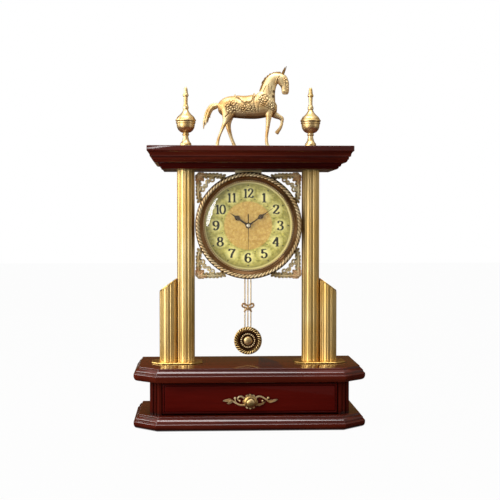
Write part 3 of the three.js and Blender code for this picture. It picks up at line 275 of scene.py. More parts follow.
FLAGS = {
    "front_flag": ("#959595", [(-0.9, -2.4, 0.01), (1.5, -2.4, 0.01), (1.5, -2.4, 2.4), (-0.9, -2.4, 2.4)]),
    "right_flag": ("#98948c", [(1.5, -2.4, 0.01), (2.2, 1.3, 0.01), (2.2, 1.3, 2.2), (1.5, -2.4, 2.2)]),
    "left_flag": ("#d2cab6", [(-2.3, 1.3, 0.01), (-2.3, -2.6, 0.01), (-2.3, -2.6, 2.2), (-2.3, 1.3, 2.2)]),
    "portal_flag": ("#454036", [(0.05, -0.02, 0.1), (0.05, 0.7, 0.1), (0.05, 0.7, 0.36),
                                (0.05, -0.06, 0.36)]),
    "back_flag": ("#61452a", [(-2.2, 1.3, 0.01), (2.2, 1.3, 0.01), (2.2, 1.3, 2.0), (-2.2, 1.3, 2.0)]),
    "table_flag": ("#2c2420", [(-2.2, -2.3, 0.002), (2.2, -2.3, 0.002), (2.2, 1.2, 0.002),
                               (-2.2, 1.2, 0.002)]),
}
stage_sheet("floor", [(-6, -6, 0), (6, -6, 0), (6, 6, 0), (-6, 6, 0)], white_paper())
for name, (shade, corner_points) in FLAGS.items():
    flag = stage_sheet(name, corner_points, flag_cloth(name, shade))
    for rays in ("camera", "diffuse", "shadow", "transmission"):
        setattr(flag, f"visible_{rays}", False)
print("floor and", len(FLAGS), "flags")

# %% [markdown]
# ## Small tools for shapes
#
# Nearly every piece of the clock is a moulding, a turning, a sweep or a casting. Each of those is a skin
# through a row of rings. A form is a list of points and a list of faces, and forms are joined at the end.

# %% Forms


def skin(rings, loop=False):
    """A form through rings of equally many points, closed at its ends or run round into a loop."""
    count = len(rings[0])
    points = [Vector(p) for ring in rings for p in ring]
    faces = []
    for k in range(len(rings) if loop else len(rings) - 1):
        here, there = k * count, (k + 1) % len(rings) * count
        for i in range(count):
            j = (i + 1) % count
            faces.append((here + i, here + j, there + j, there + i))
    if not loop:
        faces += [tuple(range(count)), tuple(range(len(points) - count, len(points)))]
    return points, faces


def profile(*moves, steps=6):
    """A line of points: two numbers go straight there, four curve past the first pair to the second."""
    points = [Vector(moves[0])]
    for move in moves[1:]:
        if len(move) == 2:
            points.append(Vector(move))
            continue
        start, bend, end = points[-1], Vector(move[:2]), Vector(move[2:])
        for s in range(1, steps + 1):
            t = s / steps
            points.append(start.lerp(bend, t).lerp(bend.lerp(end, t), t))
    return points


def turned(line, sides=64, axis="Z", place=(0, 0, 0), loop=False):
    """A line of (radius, height) points turned round an axis through the place, along Z or along Y."""
    rings = []
    for radius, height in line:
        angles = [TAU * i / sides for i in range(sides)]
        if axis == "Z":
            ring = [Vector((radius * math.cos(a), radius * math.sin(a), height)) for a in angles]
        else:
            ring = [Vector((radius * math.sin(a), height, radius * math.cos(a))) for a in angles]
        rings.append([p + Vector(place) for p in ring])
    return skin(rings, loop)


def round_dial(line, sides, loop=False):
    return turned(line, sides, "Y", (0, 0, head.z), loop)


def smooth(rows, steps=5):
    """Rows of numbers with more rows between them, on a curve through all of them."""
    last = len(rows) - 1
    out = []
    for i in range(last):
        four = [rows[min(max(i + k, 0), last)] for k in (-1, 0, 1, 2)]
        for s in range(steps):
            t = s / steps
            out.append([b + (c - a) / 2 * t + (a - 2.5 * b + 2 * c - d / 2) * t * t
                        + (1.5 * (b - c) + (d - a) / 2) * t ** 3 for a, b, c, d in zip(*four)])
    return out + [list(rows[-1])]


def swept(path, sides=8, up=(0, -1, 0), loop=False):
    """A tube along rows of x, y, z, half width and half height; the height stands along 'up'."""
    up = Vector(up)
    rings = []
    for k, row in enumerate(path):
        here = Vector(row[:3])
        before = Vector(path[k - 1 if k or loop else 0][:3])
        after = Vector(path[(k + 1) % len(path) if loop else min(k + 1, len(path) - 1)][:3])
        along = (after - before).normalized()
        side = along.cross(up).normalized()
        tall = side.cross(along)
        angles = [TAU * i / sides for i in range(sides)]
        rings.append([here + side * row[3] * math.cos(a) + tall * row[4] * math.sin(a) for a in angles])
    return skin(rings, loop)


def moved(form, matrix):
    points, faces = form
    return [matrix @ p for p in points], faces


def from_bmesh(bm, name):
    """A mesh with its faces turned outward. The bmesh is let go."""
    bmesh.ops.recalc_face_normals(bm, faces=bm.faces)
    mesh = bpy.data.meshes.new(name)
    bm.to_mesh(mesh)
    bm.free()
    return mesh


def to_mesh(name, *forms):
    """One mesh in metres from forms in millimetres, with the doubles in each form merged."""
    bm = bmesh.new()
    for points, faces in forms:
        verts = [bm.verts.new(Vector(p) * MM) for p in points]
        for face in faces:
            bm.faces.new([verts[i] for i in face])
        bmesh.ops.remove_doubles(bm, verts=verts, dist=1e-7)
    return from_bmesh(bm, name)


def joined(name, *meshes):
    bm = bmesh.new()
    for mesh in meshes:
        bm.from_mesh(mesh)
    return from_bmesh(bm, name)


print("forms: skin, turned, swept")

# %% [markdown]
# ## Setting a piece in its place
#
# A finished piece rides on the body of the solid that it stands for, and hides it. A piece that only lies
# on a solid follows its body and hides nothing. Smooth shading is kept off the edges that are sharper than
# an angle.

# %% Settling
FLAT_ANGLE, EDGE_ANGLE = math.radians(1), math.radians(30)


def coat(mesh, material):
    mesh.materials.clear()
    mesh.materials.append(material)


def settle(name, shape, material, *stands_for, sharp=35, follows=None):
    """Sets in a mesh or a list of forms; sharp is the angle from which an edge stays an edge."""
    owner = follows or stands_for[0]
    mesh = to_mesh(name, *shape) if isinstance(shape, list) else shape
    coat(mesh, material)
    mesh.shade_smooth()
    mesh.set_sharp_from_angle(angle=math.radians(sharp))
    piece = bpy.data.objects.new(name, mesh)
    bpy.context.scene.collection.objects.link(piece)
    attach(piece, frame["nodes"][owner]["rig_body"])
    if stands_for:
        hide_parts(*stands_for)
    print(f"{name}: {len(mesh.polygons)} faces")


def softened(node, width):
    """A copy of a flat solid, its triangles joined into whole faces and its sharper edges rounded."""
    bm = bmesh.new()
    bm.from_mesh(frame["nodes"][node].data)
    bmesh.ops.remove_doubles(bm, verts=bm.verts, dist=1e-6)
    bmesh.ops.dissolve_limit(bm, angle_limit=FLAT_ANGLE, verts=bm.verts, edges=bm.edges)
    bm.normal_update()
    edges = [e for e in bm.edges if e.is_manifold and e.calc_face_angle() > EDGE_ANGLE]
    bmesh.ops.bevel(bm, geom=edges, offset=width * MM, segments=2, affect="EDGES", clamp_overlap=True)
    return from_bmesh(bm, node)


# %% [markdown]
# ## Lacquered wood
#
# The base and cornice are a light wood stained mahogany red and sprayed with gloss lacquer. Under the
# lacquer runs a long grain, and a broader figure that makes the red drift. The lacquer gives soft pink
# highlights along every round of the mouldings. Real pores are finer than a pixel, so the streaks are drawn
# about a millimetre wide and forty long. They and the figure are noise stretched along one axis. The
# hollows of a moulding are darkened as painted shade: the ambient occlusion node finds them.

# %% Lacquer
STREAK = (40, 1.3)
FIGURE = (160, 18)
HOLLOW_SHADE_TONE = "#1c0302"
HOLLOW_SHADE_REACH = 7


def drawn_out(tree, sizes, along, **noise):
    """Layers of noise stretched along one axis, each with a length and a width in millimetres."""
    place = add(tree, "ShaderNodeTexCoord", output="Object")
    layers = []
    for long, wide in sizes:
        scale = [1 / (MM * (long if axis else wide)) for axis in along]
        stretched = add(tree, "ShaderNodeMapping", {"Vector": place, "Scale": scale})
        layers.append(add(tree, "ShaderNodeTexNoise", {"Vector": stretched, "Scale": 1, **noise}))
    return layers


def lacquered_wood(name, deep, red, gloss, along=(1, 0, 0)):
    material, tree = new_finish(name, {
        "Specular IOR Level": 0.06, "Coat Weight": gloss, "Coat Roughness": 0.06, "Coat IOR": 1.48})
    streaks, figure = drawn_out(tree, (STREAK, FIGURE), along, Detail=5, Distortion=0.4)
    drift = add(tree, "ShaderNodeMath", {0: streaks, 1: 0.3, 2: figure}, operation="MULTIPLY_ADD")
    share = add(tree, "ShaderNodeMapRange", {0: drift, 1: 0.4, 2: 0.95})
    tone = add(tree, "ShaderNodeMix", {0: share, 6: colour(deep), 7: colour(red)}, 2, data_type="RGBA")
    # Painted shade: ambient occlusion darkens the lacquer in the hollows of a moulding.
    open_share = add(tree, "ShaderNodeAmbientOcclusion", {"Distance": HOLLOW_SHADE_REACH * MM}, "AO", samples=8)
    hollow_shade_share = add(tree, "ShaderNodeMapRange", {0: open_share, 1: 0.95, 2: 0.45, 4: 0.9})
    tone = add(tree, "ShaderNodeMix", {0: hollow_shade_share, 6: tone, 7: colour(HOLLOW_SHADE_TONE)}, 2, data_type="RGBA")
    dull = add(tree, "ShaderNodeMapRange", {0: streaks, 1: 0.3, 2: 0.7, 3: 0.28, 4: 0.42})
    feed(tree, {"Base Color": tone, "Roughness": dull})
    return material


mahogany = lacquered_wood("mahogany lacquer", "#360803", "#62200f", 0.9)
mahogany_upright = lacquered_wood("mahogany lacquer, upright grain", "#340702", "#5e180b", 0.3, (0, 0, 1))
drawer_red = lacquered_wood("drawer front lacquer", "#480602", "#620f06", 0.2)
# Painted shade: the under board's lacquer is a darker copy of the mahogany, because it faces down.
shaded = lacquered_wood("mahogany lacquer, painted shade under board", "#2c0402", "#4c0c06", 0.12)
print("lacquers: 4")

# %% [markdown]
# ## Moulded boards
#
# A moulding is a profile run round a board with mitred corners. In Blender that is a row of outlines, each
# one drawn in a little further than the last and set at its own height. The corners of every outline are
# rounded by a millimetre, because lacquer never keeps a knife edge. Two flat bevels on each base board face
# halfway between the eye and the softbox overhead: they give the thin bright lines along the front.

# %% Board tools


def drawn_in(outline, inset, round_by=1.0, steps=3):
    """A convex outline set in by a distance, with its corners rounded."""
    points = [Vector(p) for p in outline]
    ring = []
    for i, corner in enumerate(points):
        before = (corner - points[i - 1]).normalized()
        after = (points[(i + 1) % len(points)] - corner).normalized()
        inward = Vector((-before.y - after.y, before.x + after.x))
        tip = corner + inward * inset / (1 + before.dot(after))
        start, end = tip - before * round_by, tip + after * round_by
        for s in range(steps + 1):
            t = s / steps
            ring.append(start.lerp(tip, t).lerp(tip.lerp(end, t), t))
    return ring


def board(outline, moulding, foot, round_by=1.0):
    return skin([[(p.x, p.y, foot + height) for p in drawn_in(outline, inset, round_by)]
                 for inset, height in moulding])


def rectangle(low, high):
    return [(low[0], low[1]), (high[0], low[1]), (high[0], high[1]), (low[0], high[1])]


def front_cut(low, high, cut):
    return [(low[0] + cut, low[1]), (high[0] - cut, low[1]), (high[0], low[1] + cut),
            (high[0], high[1]), (low[0], high[1]), (low[0], low[1] + cut)]


print("board tools ready")

# %% Base boards
BASE_CORNER_CUT = 31.5
plinth_line = profile(
    (5.4, 0), (0.6, 0.8, 0, 6.4), (0, 8.6), (0, 9.3, 0.4, 9.7), (0.8, 10.1), (1.6, 10.6, 2.4, 10.7),
    (2.5, 11.3), (2.6, 13.2, 3.1, 13.8), (5.4, 16.1), (6, 16.6, 6.8, 16.7), (7.1, 16.7), (7.2, 17.2),
    (7.3, 18.7), (7.4, 19.4, 8.2, 19.5))
for name in ("bottom_plinth", "top_plinth"):
    low, high = corners(name)
    form = board(front_cut(low, high, BASE_CORNER_CUT), plinth_line, low.z)
    settle(f"{name}_moulding", [form], mahogany, name, sharp=28)

# %% [markdown]
# ## Case
#
# Each side of the drawer case has a cut front corner with two upright reeds. Its outline is drawn once,
# with half circles for the reeds, and raised like an extrusion.

# %% Case sides
CASE_CORNER_CUT = 13
REED = 1.6
REED_STEPS = 10


def case_outline(low, high):
    """The right side of the case seen from above, with its inner face at the lowest X."""
    cut_start = high.x - CASE_CORNER_CUT
    points = [(low.x, low.y), (cut_start, low.y)]
    for share in (1 / 3, 2 / 3):
        along = CASE_CORNER_CUT * share
        for s in range(REED_STEPS + 1):
            angle = math.pi * (-0.75 + s / REED_STEPS)
            x = cut_start + along + REED * math.cos(angle)
            points.append((x, low.y + along + REED * math.sin(angle)))
    return points + [(high.x, low.y + CASE_CORNER_CUT), (high.x, high.y), (low.x, high.y)]


low, high = corners("case_side_right")
right_side = skin([[(x, y, z) for x, y in case_outline(low, high)] for z in (low.z, high.z)])
for name, flip in (("case_side_right", 1), ("case_side_left", -1)):
    form = moved(right_side, Matrix.Diagonal((flip, 1, 1, 1)))
    settle(f"{name}_reeded", [form], mahogany_upright, name, sharp=40)
for name in ("case_back", "case_rail"):
    settle(f"{name}_board", softened(name, 0.6), mahogany, name)

# %% [markdown]
# ## Drawer
#
# The drawer front is a flat panel with a fine raised bead just inside its edge. It is the same kind of board
# as the plinths, tipped forward. The box behind it is plain unfinished wood.

# %% Drawer front
low, high = corners("drawer_front")
thick = high.y - low.y
panel_line = profile(
    (0.4, 0), (0, 0.4), (0, thick - 2), (0.1, thick - 1.1, 0.9, thick - 1), (1.5, thick - 1),
    (1.6, thick - 0.1, 2.2, thick - 0.1), (2.9, thick - 0.2, 3.0, thick - 1), (3.3, thick - 1),
    (3.6, thick - 0.1, 4.4, thick))
panel = board(rectangle((low.x, low.z), (high.x, high.z)), panel_line, 0, 0.6)
tipped = Matrix.Translation((0, high.y, 0)) @ Matrix.Rotation(math.pi / 2, 4, "X")
settle("drawer_front_panel", [moved(panel, tipped)], drawer_red, "drawer_front", sharp=28)

# %% Raw wood
FLECK = (22, 0.7)
TIMBER_FIGURE = (140, 9)


def raw_timber(name, pale, brown, along):
    """Planed beech: pale, matt, with short dark flecks along the grain."""
    material, tree = new_finish(name, {"Roughness": 0.6, "Specular IOR Level": 0.3})
    flecks, figure = drawn_out(tree, (FLECK, TIMBER_FIGURE), along, Detail=4)
    drift = add(tree, "ShaderNodeMath", {0: flecks, 1: 0.6, 2: figure}, operation="MULTIPLY_ADD")
    share = add(tree, "ShaderNodeMapRange", {0: drift, 1: 0.55, 2: 1.05})
    tone = add(tree, "ShaderNodeMix", {0: share, 6: colour(pale), 7: colour(brown)}, 2, data_type="RGBA")
    bump = add(tree, "ShaderNodeBump", {"Height": flecks, "Strength": 0.15, "Distance": 0.2 * MM})
    feed(tree, {"Base Color": tone, "Normal": bump})
    return material


beech_lengthwise = raw_timber("planed beech, grain to the back", "#c9a271", "#9a7142", (0, 1, 0))
beech_across = raw_timber("planed beech, grain across", "#c9a271", "#9a7142", (1, 0, 0))
for name in ("drawer_side_left", "drawer_side_right", "drawer_runner_left", "drawer_runner_right"):
    settle(f"{name}_board", softened(name, 0.5), beech_lengthwise, name)
for name in ("drawer_back", "drawer_bottom"):
    settle(f"{name}_board", softened(name, 0.5), beech_across, name)

# %% [markdown]
# ## Cornice
#
# Three boards step out under the clock's top. From the front they show as a broad lit fascia, a dark
# hollow, two thin lit beads and a last dark hollow above the columns.

# %% Cornice boards
top_line = profile(
    (4, 0), (3.9, 1.2), (3.6, 4.6, 1.4, 6.4), (0.6, 6.8), (0.1, 7.0, 0, 7.6), (0, 13.4), (0, 14.4, 1, 14.5))
crown_line = profile((11.6, 0), (8.6, 0.5, 7.9, 4.0), (7.2, 4.1), (6.7, 4.2, 6.6, 4.8), (6.4, 7.6),
                     (6.3, 8.4, 6.2, 8.5))
soffit_line = profile((20.5, 0), (20.0, 0.6), (19.2, 1.0, 18.8, 3.1), (17.4, 3.2), (16.5, 3.3, 16.4, 4.2),
                      (16.3, 4.6), (15.4, 7.2, 14.6, 7.6), (14.6, 8))
outer_low, outer_high = corners("cornice_top")
for name, line, finish in (("cornice_top", top_line, mahogany), ("cornice_crown", crown_line, mahogany),
                           ("cornice_soffit", soffit_line, shaded)):
    form = board(rectangle(outer_low, outer_high), line, corners(name)[0].z, 0.7)
    settle(f"{name}_moulding", [form], finish, name, sharp=28)

# %% [markdown]
# ## Metals
#
# The columns are drawn brass tube, polished lengthwise, so fine streaks run up them and old polish darkens
# the flutes. The ornaments are cast and gilded, then rubbed: dark wax stays in every hollow. Cycles'
# ambient occlusion node finds those hollows on the piece itself.

# %% Metal finishes
DRAWN_LINE = (90, 0.7)


def drawn_brass(name, deep, mid, bright, roughness):
    """Brass tube polished along its length, with darker polish left in the flutes."""
    material, tree = new_finish(name, {"Metallic": 1.0, "Coat Weight": 0.45, "Coat Roughness": 0.3})
    lines, = drawn_out(tree, (DRAWN_LINE,), (0, 0, 1), Detail=3)
    place = add(tree, "ShaderNodeTexCoord", output="Object")
    cloud = add(tree, "ShaderNodeTexNoise", {"Vector": place, "Scale": 1 / (60 * MM), "Detail": 2})
    share = add(tree, "ShaderNodeMath", {0: lines, 1: 0.6, 2: cloud}, operation="MULTIPLY_ADD")
    share = add(tree, "ShaderNodeMapRange", {0: share, 1: 0.6, 2: 1.0})
    tone = add(tree, "ShaderNodeMix", {0: share, 6: colour(mid), 7: colour(bright)}, 2, data_type="RGBA")
    hollow = add(tree, "ShaderNodeAttribute", output="Fac", attribute_name="hollow")
    depth = add(tree, "ShaderNodeMapRange", {0: hollow, 1: 0.3, 2: 1.0, 4: 0.55})
    tone = add(tree, "ShaderNodeMix", {0: depth, 6: tone, 7: colour(deep)}, 2, data_type="RGBA")
    smooth_end, dull_end = roughness - 0.04, roughness + 0.05
    dull = add(tree, "ShaderNodeMapRange", {0: lines, 1: 0.3, 2: 0.7, 3: smooth_end, 4: dull_end})
    feed(tree, {"Base Color": tone, "Roughness": dull})
    return material


def rubbed_casting(name, wax, gold, rubbed, roughness, reach, metal=1.0):
    """Gilded casting with dark wax in its hollows and rubbed gold on its heights; reach in millimetres."""
    material, tree = new_finish(name, {"Metallic": metal})
    place = add(tree, "ShaderNodeTexCoord", output="Object")
    grit = add(tree, "ShaderNodeTexNoise", {"Vector": place, "Scale": 1 / (1.6 * MM), "Detail": 3})
    cloud = add(tree, "ShaderNodeTexNoise", {"Vector": place, "Scale": 1 / (14 * MM), "Detail": 2})
    worn = add(tree, "ShaderNodeMapRange", {0: cloud, 1: 0.35, 2: 0.65})
    tone = add(tree, "ShaderNodeMix", {0: worn, 6: colour(gold), 7: colour(rubbed)}, 2, data_type="RGBA")
    open_share = add(tree, "ShaderNodeAmbientOcclusion", {"Distance": reach * MM}, "AO", samples=8,
                     only_local=True)
    edge = add(tree, "ShaderNodeMath", {0: grit, 1: 0.25, 2: open_share}, operation="MULTIPLY_ADD")
    waxed = add(tree, "ShaderNodeMapRange", {0: edge, 1: 0.98, 2: 0.5})
    # The hollow attribute adds what a piece stores there; on the horse that includes painted shade.
    hollow = add(tree, "ShaderNodeAttribute", output="Fac", attribute_name="hollow")
    waxed = add(tree, "ShaderNodeMath", {0: waxed, 1: hollow}, operation="MAXIMUM")
    tone = add(tree, "ShaderNodeMix", {0: waxed, 6: tone, 7: colour(wax)}, 2, data_type="RGBA")
    dull = add(tree, "ShaderNodeMapRange", {0: waxed, 3: roughness, 4: roughness + 0.25})
    bump = add(tree, "ShaderNodeBump", {"Height": grit, "Strength": 0.08, "Distance": 0.3 * MM})
    feed(tree, {"Base Color": tone, "Roughness": dull, "Normal": bump})
    return material


tube_brass = drawn_brass("drawn brass tube", "#86601c", "#dcb05a", "#edcf8c", 0.38)
plate_brass = drawn_brass("rolled brass plate", "#8a5f1e", "#d8ab56", "#ecc878", 0.3)
turned_brass = rubbed_casting("turned brass", "#6a4614", "#cfa864", "#e8cc98", 0.38, 3)
antique_gold = rubbed_casting("antique gilt casting", "#3a270e", "#dcbc7e", "#f8e6b6", 0.4, 1.4, 0.3)
pale_gold = rubbed_casting("pale gilt casting", "#4a2e10", "#d3ac66", "#f0d39a", 0.32, 3)
rosy_gold = rubbed_casting("rosy gilt casting", "#4a2c10", "#ebc488", "#fce6b8", 0.34, 1.2, 0.6)
band_bronze = rubbed_casting("browned bronze", "#2e1a0c", "#86603e", "#9e7852", 0.3, 1)
dark_bronze = rubbed_casting("waxed bronze", "#1c0f05", "#4e341a", "#604222", 0.45, 1)
bow_copper = rubbed_casting("copper casting", "#4a2c14", "#cc9a64", "#e8c490", 0.36, 1.4, 0.6)
hand_bronze = rubbed_casting("browned hand metal", "#1c1208", "#3a2a14", "#4a3820", 0.42, 1)
zinc_steel = rubbed_casting("zinc plated steel", "#55555a", "#96989a", "#b4b6b8", 0.34, 2)
print("metals: 11")

# %% [markdown]
# ## Node trees for what repeats
#
# Columns are one section repeated: a circle with sixteen hollows cut into it. The rope, the beads and the
# dial's dots are one small shape repeated round a circle. Both rules are short Geometry Nodes trees with
# named inputs, so a size can be changed without touching the nodes.

# %% Tree tools
POINTS_PER_FLUTE = 14


def new_tree(name, **inputs):
    tree = bpy.data.node_groups.new(name, "GeometryNodeTree")
    for side in ("INPUT", "OUTPUT"):
        tree.interface.new_socket("Geometry", in_out=side, socket_type="NodeSocketGeometry")
    for label, kind in inputs.items():
        tree.interface.new_socket(label, in_out="INPUT", socket_type=f"NodeSocket{kind}")
    return tree, add(tree, "NodeGroupInput", output=None).outputs


def end_tree(tree, geometry, finish):
    whole = add(tree, "GeometryNodeRealizeInstances", {0: geometry})
    coated = add(tree, "GeometryNodeSetMaterial", {"Geometry": whole, "Material": finish})
    add(tree, "NodeGroupOutput", {0: coated}, output=None)
    return tree


def grow(tree, start, **sizes):
    """Runs a tree on a start mesh, and gives back what grew as a plain mesh with faces outward."""
    holder = bpy.data.objects.new(tree.name, start)
    bpy.context.scene.collection.objects.link(holder)
    modifier = holder.modifiers.new(tree.name, "NODES")
    modifier.node_group = tree
    names = {item.name: item.identifier for item in tree.interface.items_tree if item.in_out == "INPUT"}
    for label, value in sizes.items():
        modifier[names[label]] = value
    depsgraph = bpy.context.evaluated_depsgraph_get()
    grown = bpy.data.meshes.new_from_object(holder.evaluated_get(depsgraph))
    bpy.data.objects.remove(holder)
    bm = bmesh.new()
    bm.from_mesh(grown)
    return from_bmesh(bm, tree.name)


def ring_tree():
    """Copies of the start mesh round an axis along Y; each copy's own Z points away from the middle."""
    tree, given = new_tree("ring of copies", Count="Int", Radius="Float", Middle="Vector", Start="Float",
                           Finish="Material")
    index = add(tree, "GeometryNodeInputIndex")
    share = add(tree, "ShaderNodeMath", {0: index, 1: given["Count"]}, operation="DIVIDE")
    angle = add(tree, "ShaderNodeMath", {0: share, 1: TAU, 2: given["Start"]}, operation="MULTIPLY_ADD")
    across = add(tree, "ShaderNodeMath", {0: angle}, operation="SINE")
    upward = add(tree, "ShaderNodeMath", {0: angle}, operation="COSINE")
    outward = add(tree, "ShaderNodeCombineXYZ", {0: across, 2: upward})
    spoke = add(tree, "ShaderNodeVectorMath", {0: outward, 3: given["Radius"]}, operation="SCALE")
    place = add(tree, "ShaderNodeVectorMath", {0: spoke, 1: given["Middle"]}, operation="ADD")
    points = add(tree, "GeometryNodePoints", {"Count": given["Count"], "Position": place})
    about_y = add(tree, "ShaderNodeCombineXYZ", {1: angle})
    turn = add(tree, "FunctionNodeEulerToRotation", {0: about_y})
    copies = add(tree, "GeometryNodeInstanceOnPoints", {
        "Points": points, "Instance": given["Geometry"], "Rotation": turn})
    return end_tree(tree, copies, given["Finish"])


def column_tree():
    """A fluted column: flat lands between round hollows, its top cut on a slope from side to side."""
    tree, given = new_tree("fluted column", Radius="Float", Flutes="Int", Depth="Float", Land="Float",
                           Foot="Vector", Height="Float", Slope="Float", Finish="Material")
    fine = add(tree, "ShaderNodeMath", {0: given["Flutes"], 1: POINTS_PER_FLUTE}, operation="MULTIPLY")
    circle = add(tree, "GeometryNodeCurvePrimitiveCircle", {"Resolution": fine, "Radius": given["Radius"]})
    place = add(tree, "GeometryNodeInputPosition")
    x, y, _ = add(tree, "ShaderNodeSeparateXYZ", {0: place}, output=None).outputs
    angle = add(tree, "ShaderNodeMath", {0: y, 1: x}, operation="ARCTAN2")
    turns = add(tree, "ShaderNodeMath", {0: angle, 1: TAU}, operation="DIVIDE")
    half_land = add(tree, "ShaderNodeMath", {0: given["Land"], 1: 0.5}, operation="MULTIPLY")
    counted = add(tree, "ShaderNodeMath", {0: turns, 1: given["Flutes"], 2: half_land},
                  operation="MULTIPLY_ADD")
    across = add(tree, "ShaderNodeMath", {0: counted}, operation="FRACT")
    share = add(tree, "ShaderNodeMapRange", {0: across, 1: given["Land"], 2: 1.0})
    half_turn = add(tree, "ShaderNodeMath", {0: share, 1: math.pi}, operation="MULTIPLY")
    hollow = add(tree, "ShaderNodeMath", {0: half_turn}, operation="SINE")
    marked = add(tree, "GeometryNodeStoreNamedAttribute", {
        "Geometry": circle, "Name": "hollow", "Value": hollow}, data_type="FLOAT", domain="POINT")
    cut = add(tree, "ShaderNodeMath", {0: hollow, 1: given["Depth"]}, operation="MULTIPLY")
    outward = add(tree, "ShaderNodeVectorMath", {0: place}, operation="NORMALIZE")
    cut_out = add(tree, "ShaderNodeVectorMath", {0: outward, 3: cut}, operation="SCALE")
    inward = add(tree, "ShaderNodeVectorMath", {0: cut_out, 3: -1.0}, operation="SCALE")
    fluted = add(tree, "GeometryNodeSetPosition", {"Geometry": marked, "Offset": inward})
    rise = add(tree, "ShaderNodeCombineXYZ", {2: given["Height"]})
    top = add(tree, "ShaderNodeVectorMath", {0: given["Foot"], 1: rise}, operation="ADD")
    line = add(tree, "GeometryNodeCurvePrimitiveLine", {"Start": given["Foot"], "End": top})
    column = add(tree, "GeometryNodeCurveToMesh", {"Curve": line, "Profile Curve": fluted, "Fill Caps": True})
    from_foot = add(tree, "ShaderNodeVectorMath", {0: place, 1: given["Foot"]}, operation="SUBTRACT")
    x, _, z = add(tree, "ShaderNodeSeparateXYZ", {0: from_foot}, output=None).outputs
    half_up = add(tree, "ShaderNodeMath", {0: given["Height"], 1: 0.5}, operation="MULTIPLY")
    upper = add(tree, "ShaderNodeMath", {0: z, 1: half_up}, operation="GREATER_THAN")
    drop = add(tree, "ShaderNodeMath", {0: x, 1: given["Slope"]}, operation="MULTIPLY")
    lowered = add(tree, "ShaderNodeCombineXYZ", {2: drop})
    slanted = add(tree, "GeometryNodeSetPosition", {
        "Geometry": column, "Selection": upper, "Offset": lowered})
    return end_tree(tree, slanted, given["Finish"])


RING = ring_tree()
COLUMN = column_tree()


def ringed(form, count, middle_point, finish, radius=0.0, start=0.0):
    """A mesh of copies of one form round a place; sizes in millimetres."""
    return grow(RING, to_mesh("copy", form), Count=count, Radius=radius * MM, Middle=middle_point * MM,
                Start=start, Finish=finish)


print("trees:", RING.name, "and", COLUMN.name)

# %% [markdown]
# ## Columns
#
# Tall columns run from the base to the cornice. The short ones are cut on a slant, high towards the tall
# column and low outside, and a thin oval cap closes the cut. All stand on eight-sided plates.

# %% Columns
FLUTES = 16
FLUTE_DEPTH = 0.62
LAND_SHARE = 0.55
SHORT_INNER, SHORT_OUTER = 116.4, 98.4
PLATE_CUT = 14
LAND_SWELL = 0.14
column_low, column_high = corners("tall_column_right")
column_radius = half_width("tall_column_right")
slope = (SHORT_INNER - SHORT_OUTER) / (2 * column_radius)
short_middle = (SHORT_INNER + SHORT_OUTER) / 2
start_point = bpy.data.meshes.new("start")
SIDES = {"right": 1, "left": -1}
for name, side in SIDES.items():
    for kind, height, fall in (("tall", column_high.z - column_low.z, 0), ("short", short_middle, slope)):
        node = f"{kind}_column_{name}"
        mesh = grow(COLUMN, start_point.copy(), Radius=(column_radius + LAND_SWELL) * MM, Flutes=FLUTES,
                    Depth=FLUTE_DEPTH * MM, Land=LAND_SHARE, Foot=underside(node) * MM, Height=height * MM,
                    Slope=-side * fall, Finish=tube_brass)
        settle(f"{node}_fluted", mesh, tube_brass, node, sharp=32)

# %% Caps and plates
CAP_LINE = profile((0.2, 0), (0, 0.2, 0, 0.7), (0.1, 1.5, 0.6, 1.6), (1.6, 1.6), (1.9, 1.2), (12, 1.2),
                   steps=3)
CAP_GAP = 0.3
CAP_SIDES = 64


def slanted_cap(place, side):
    """A thin round cap that follows the slanted cut: the line gives how far in and how high each ring is."""
    rings = []
    for inset, height in CAP_LINE:
        radius = column_radius - inset
        angles = [TAU * i / CAP_SIDES for i in range(CAP_SIDES)]
        ring = [Vector((radius * math.cos(a), radius * math.sin(a), 0)) for a in angles]
        rings.append([place + p + Vector((0, 0, height - side * slope * p.x)) for p in ring])
    return skin(rings)


def eight_sided(low, high, cut):
    return front_cut(low, high, cut)[:3] + [
        (high[0], high[1] - cut), (high[0] - cut, high[1]), (low[0] + cut, high[1]), (low[0], high[1] - cut),
        (low[0], low[1] + cut)]


plate_line = profile((0.5, 0), (0.1, 0.3, 0, 0.8), (0, 1.5), (0.2, 2.3, 1.2, 2.5), steps=4)
for name, side in SIDES.items():
    place = underside(f"short_column_{name}")
    place.z += short_middle + CAP_GAP
    settle(f"short_cap_{name}_oval", [slanted_cap(place, side)], plate_brass, f"short_column_cap_{name}")
    low, high = corners(f"column_plate_{name}")
    plate = board(eight_sided(low, high, PLATE_CUT), plate_line, low.z)
    settle(f"column_plate_{name}_eight_sided", [plate], plate_brass, f"column_plate_{name}")
    coat(frame["nodes"][f"tie_bolt_{name}"].data, zinc_steel)

# %% [markdown]
# ## Finials
#
# Each finial is turned from one bar: a spread foot, a thin stem with a knop, a bowl with two flat bands,
# an ogee lid and a spire with two small collars. One line of radii and heights is turned round Z.

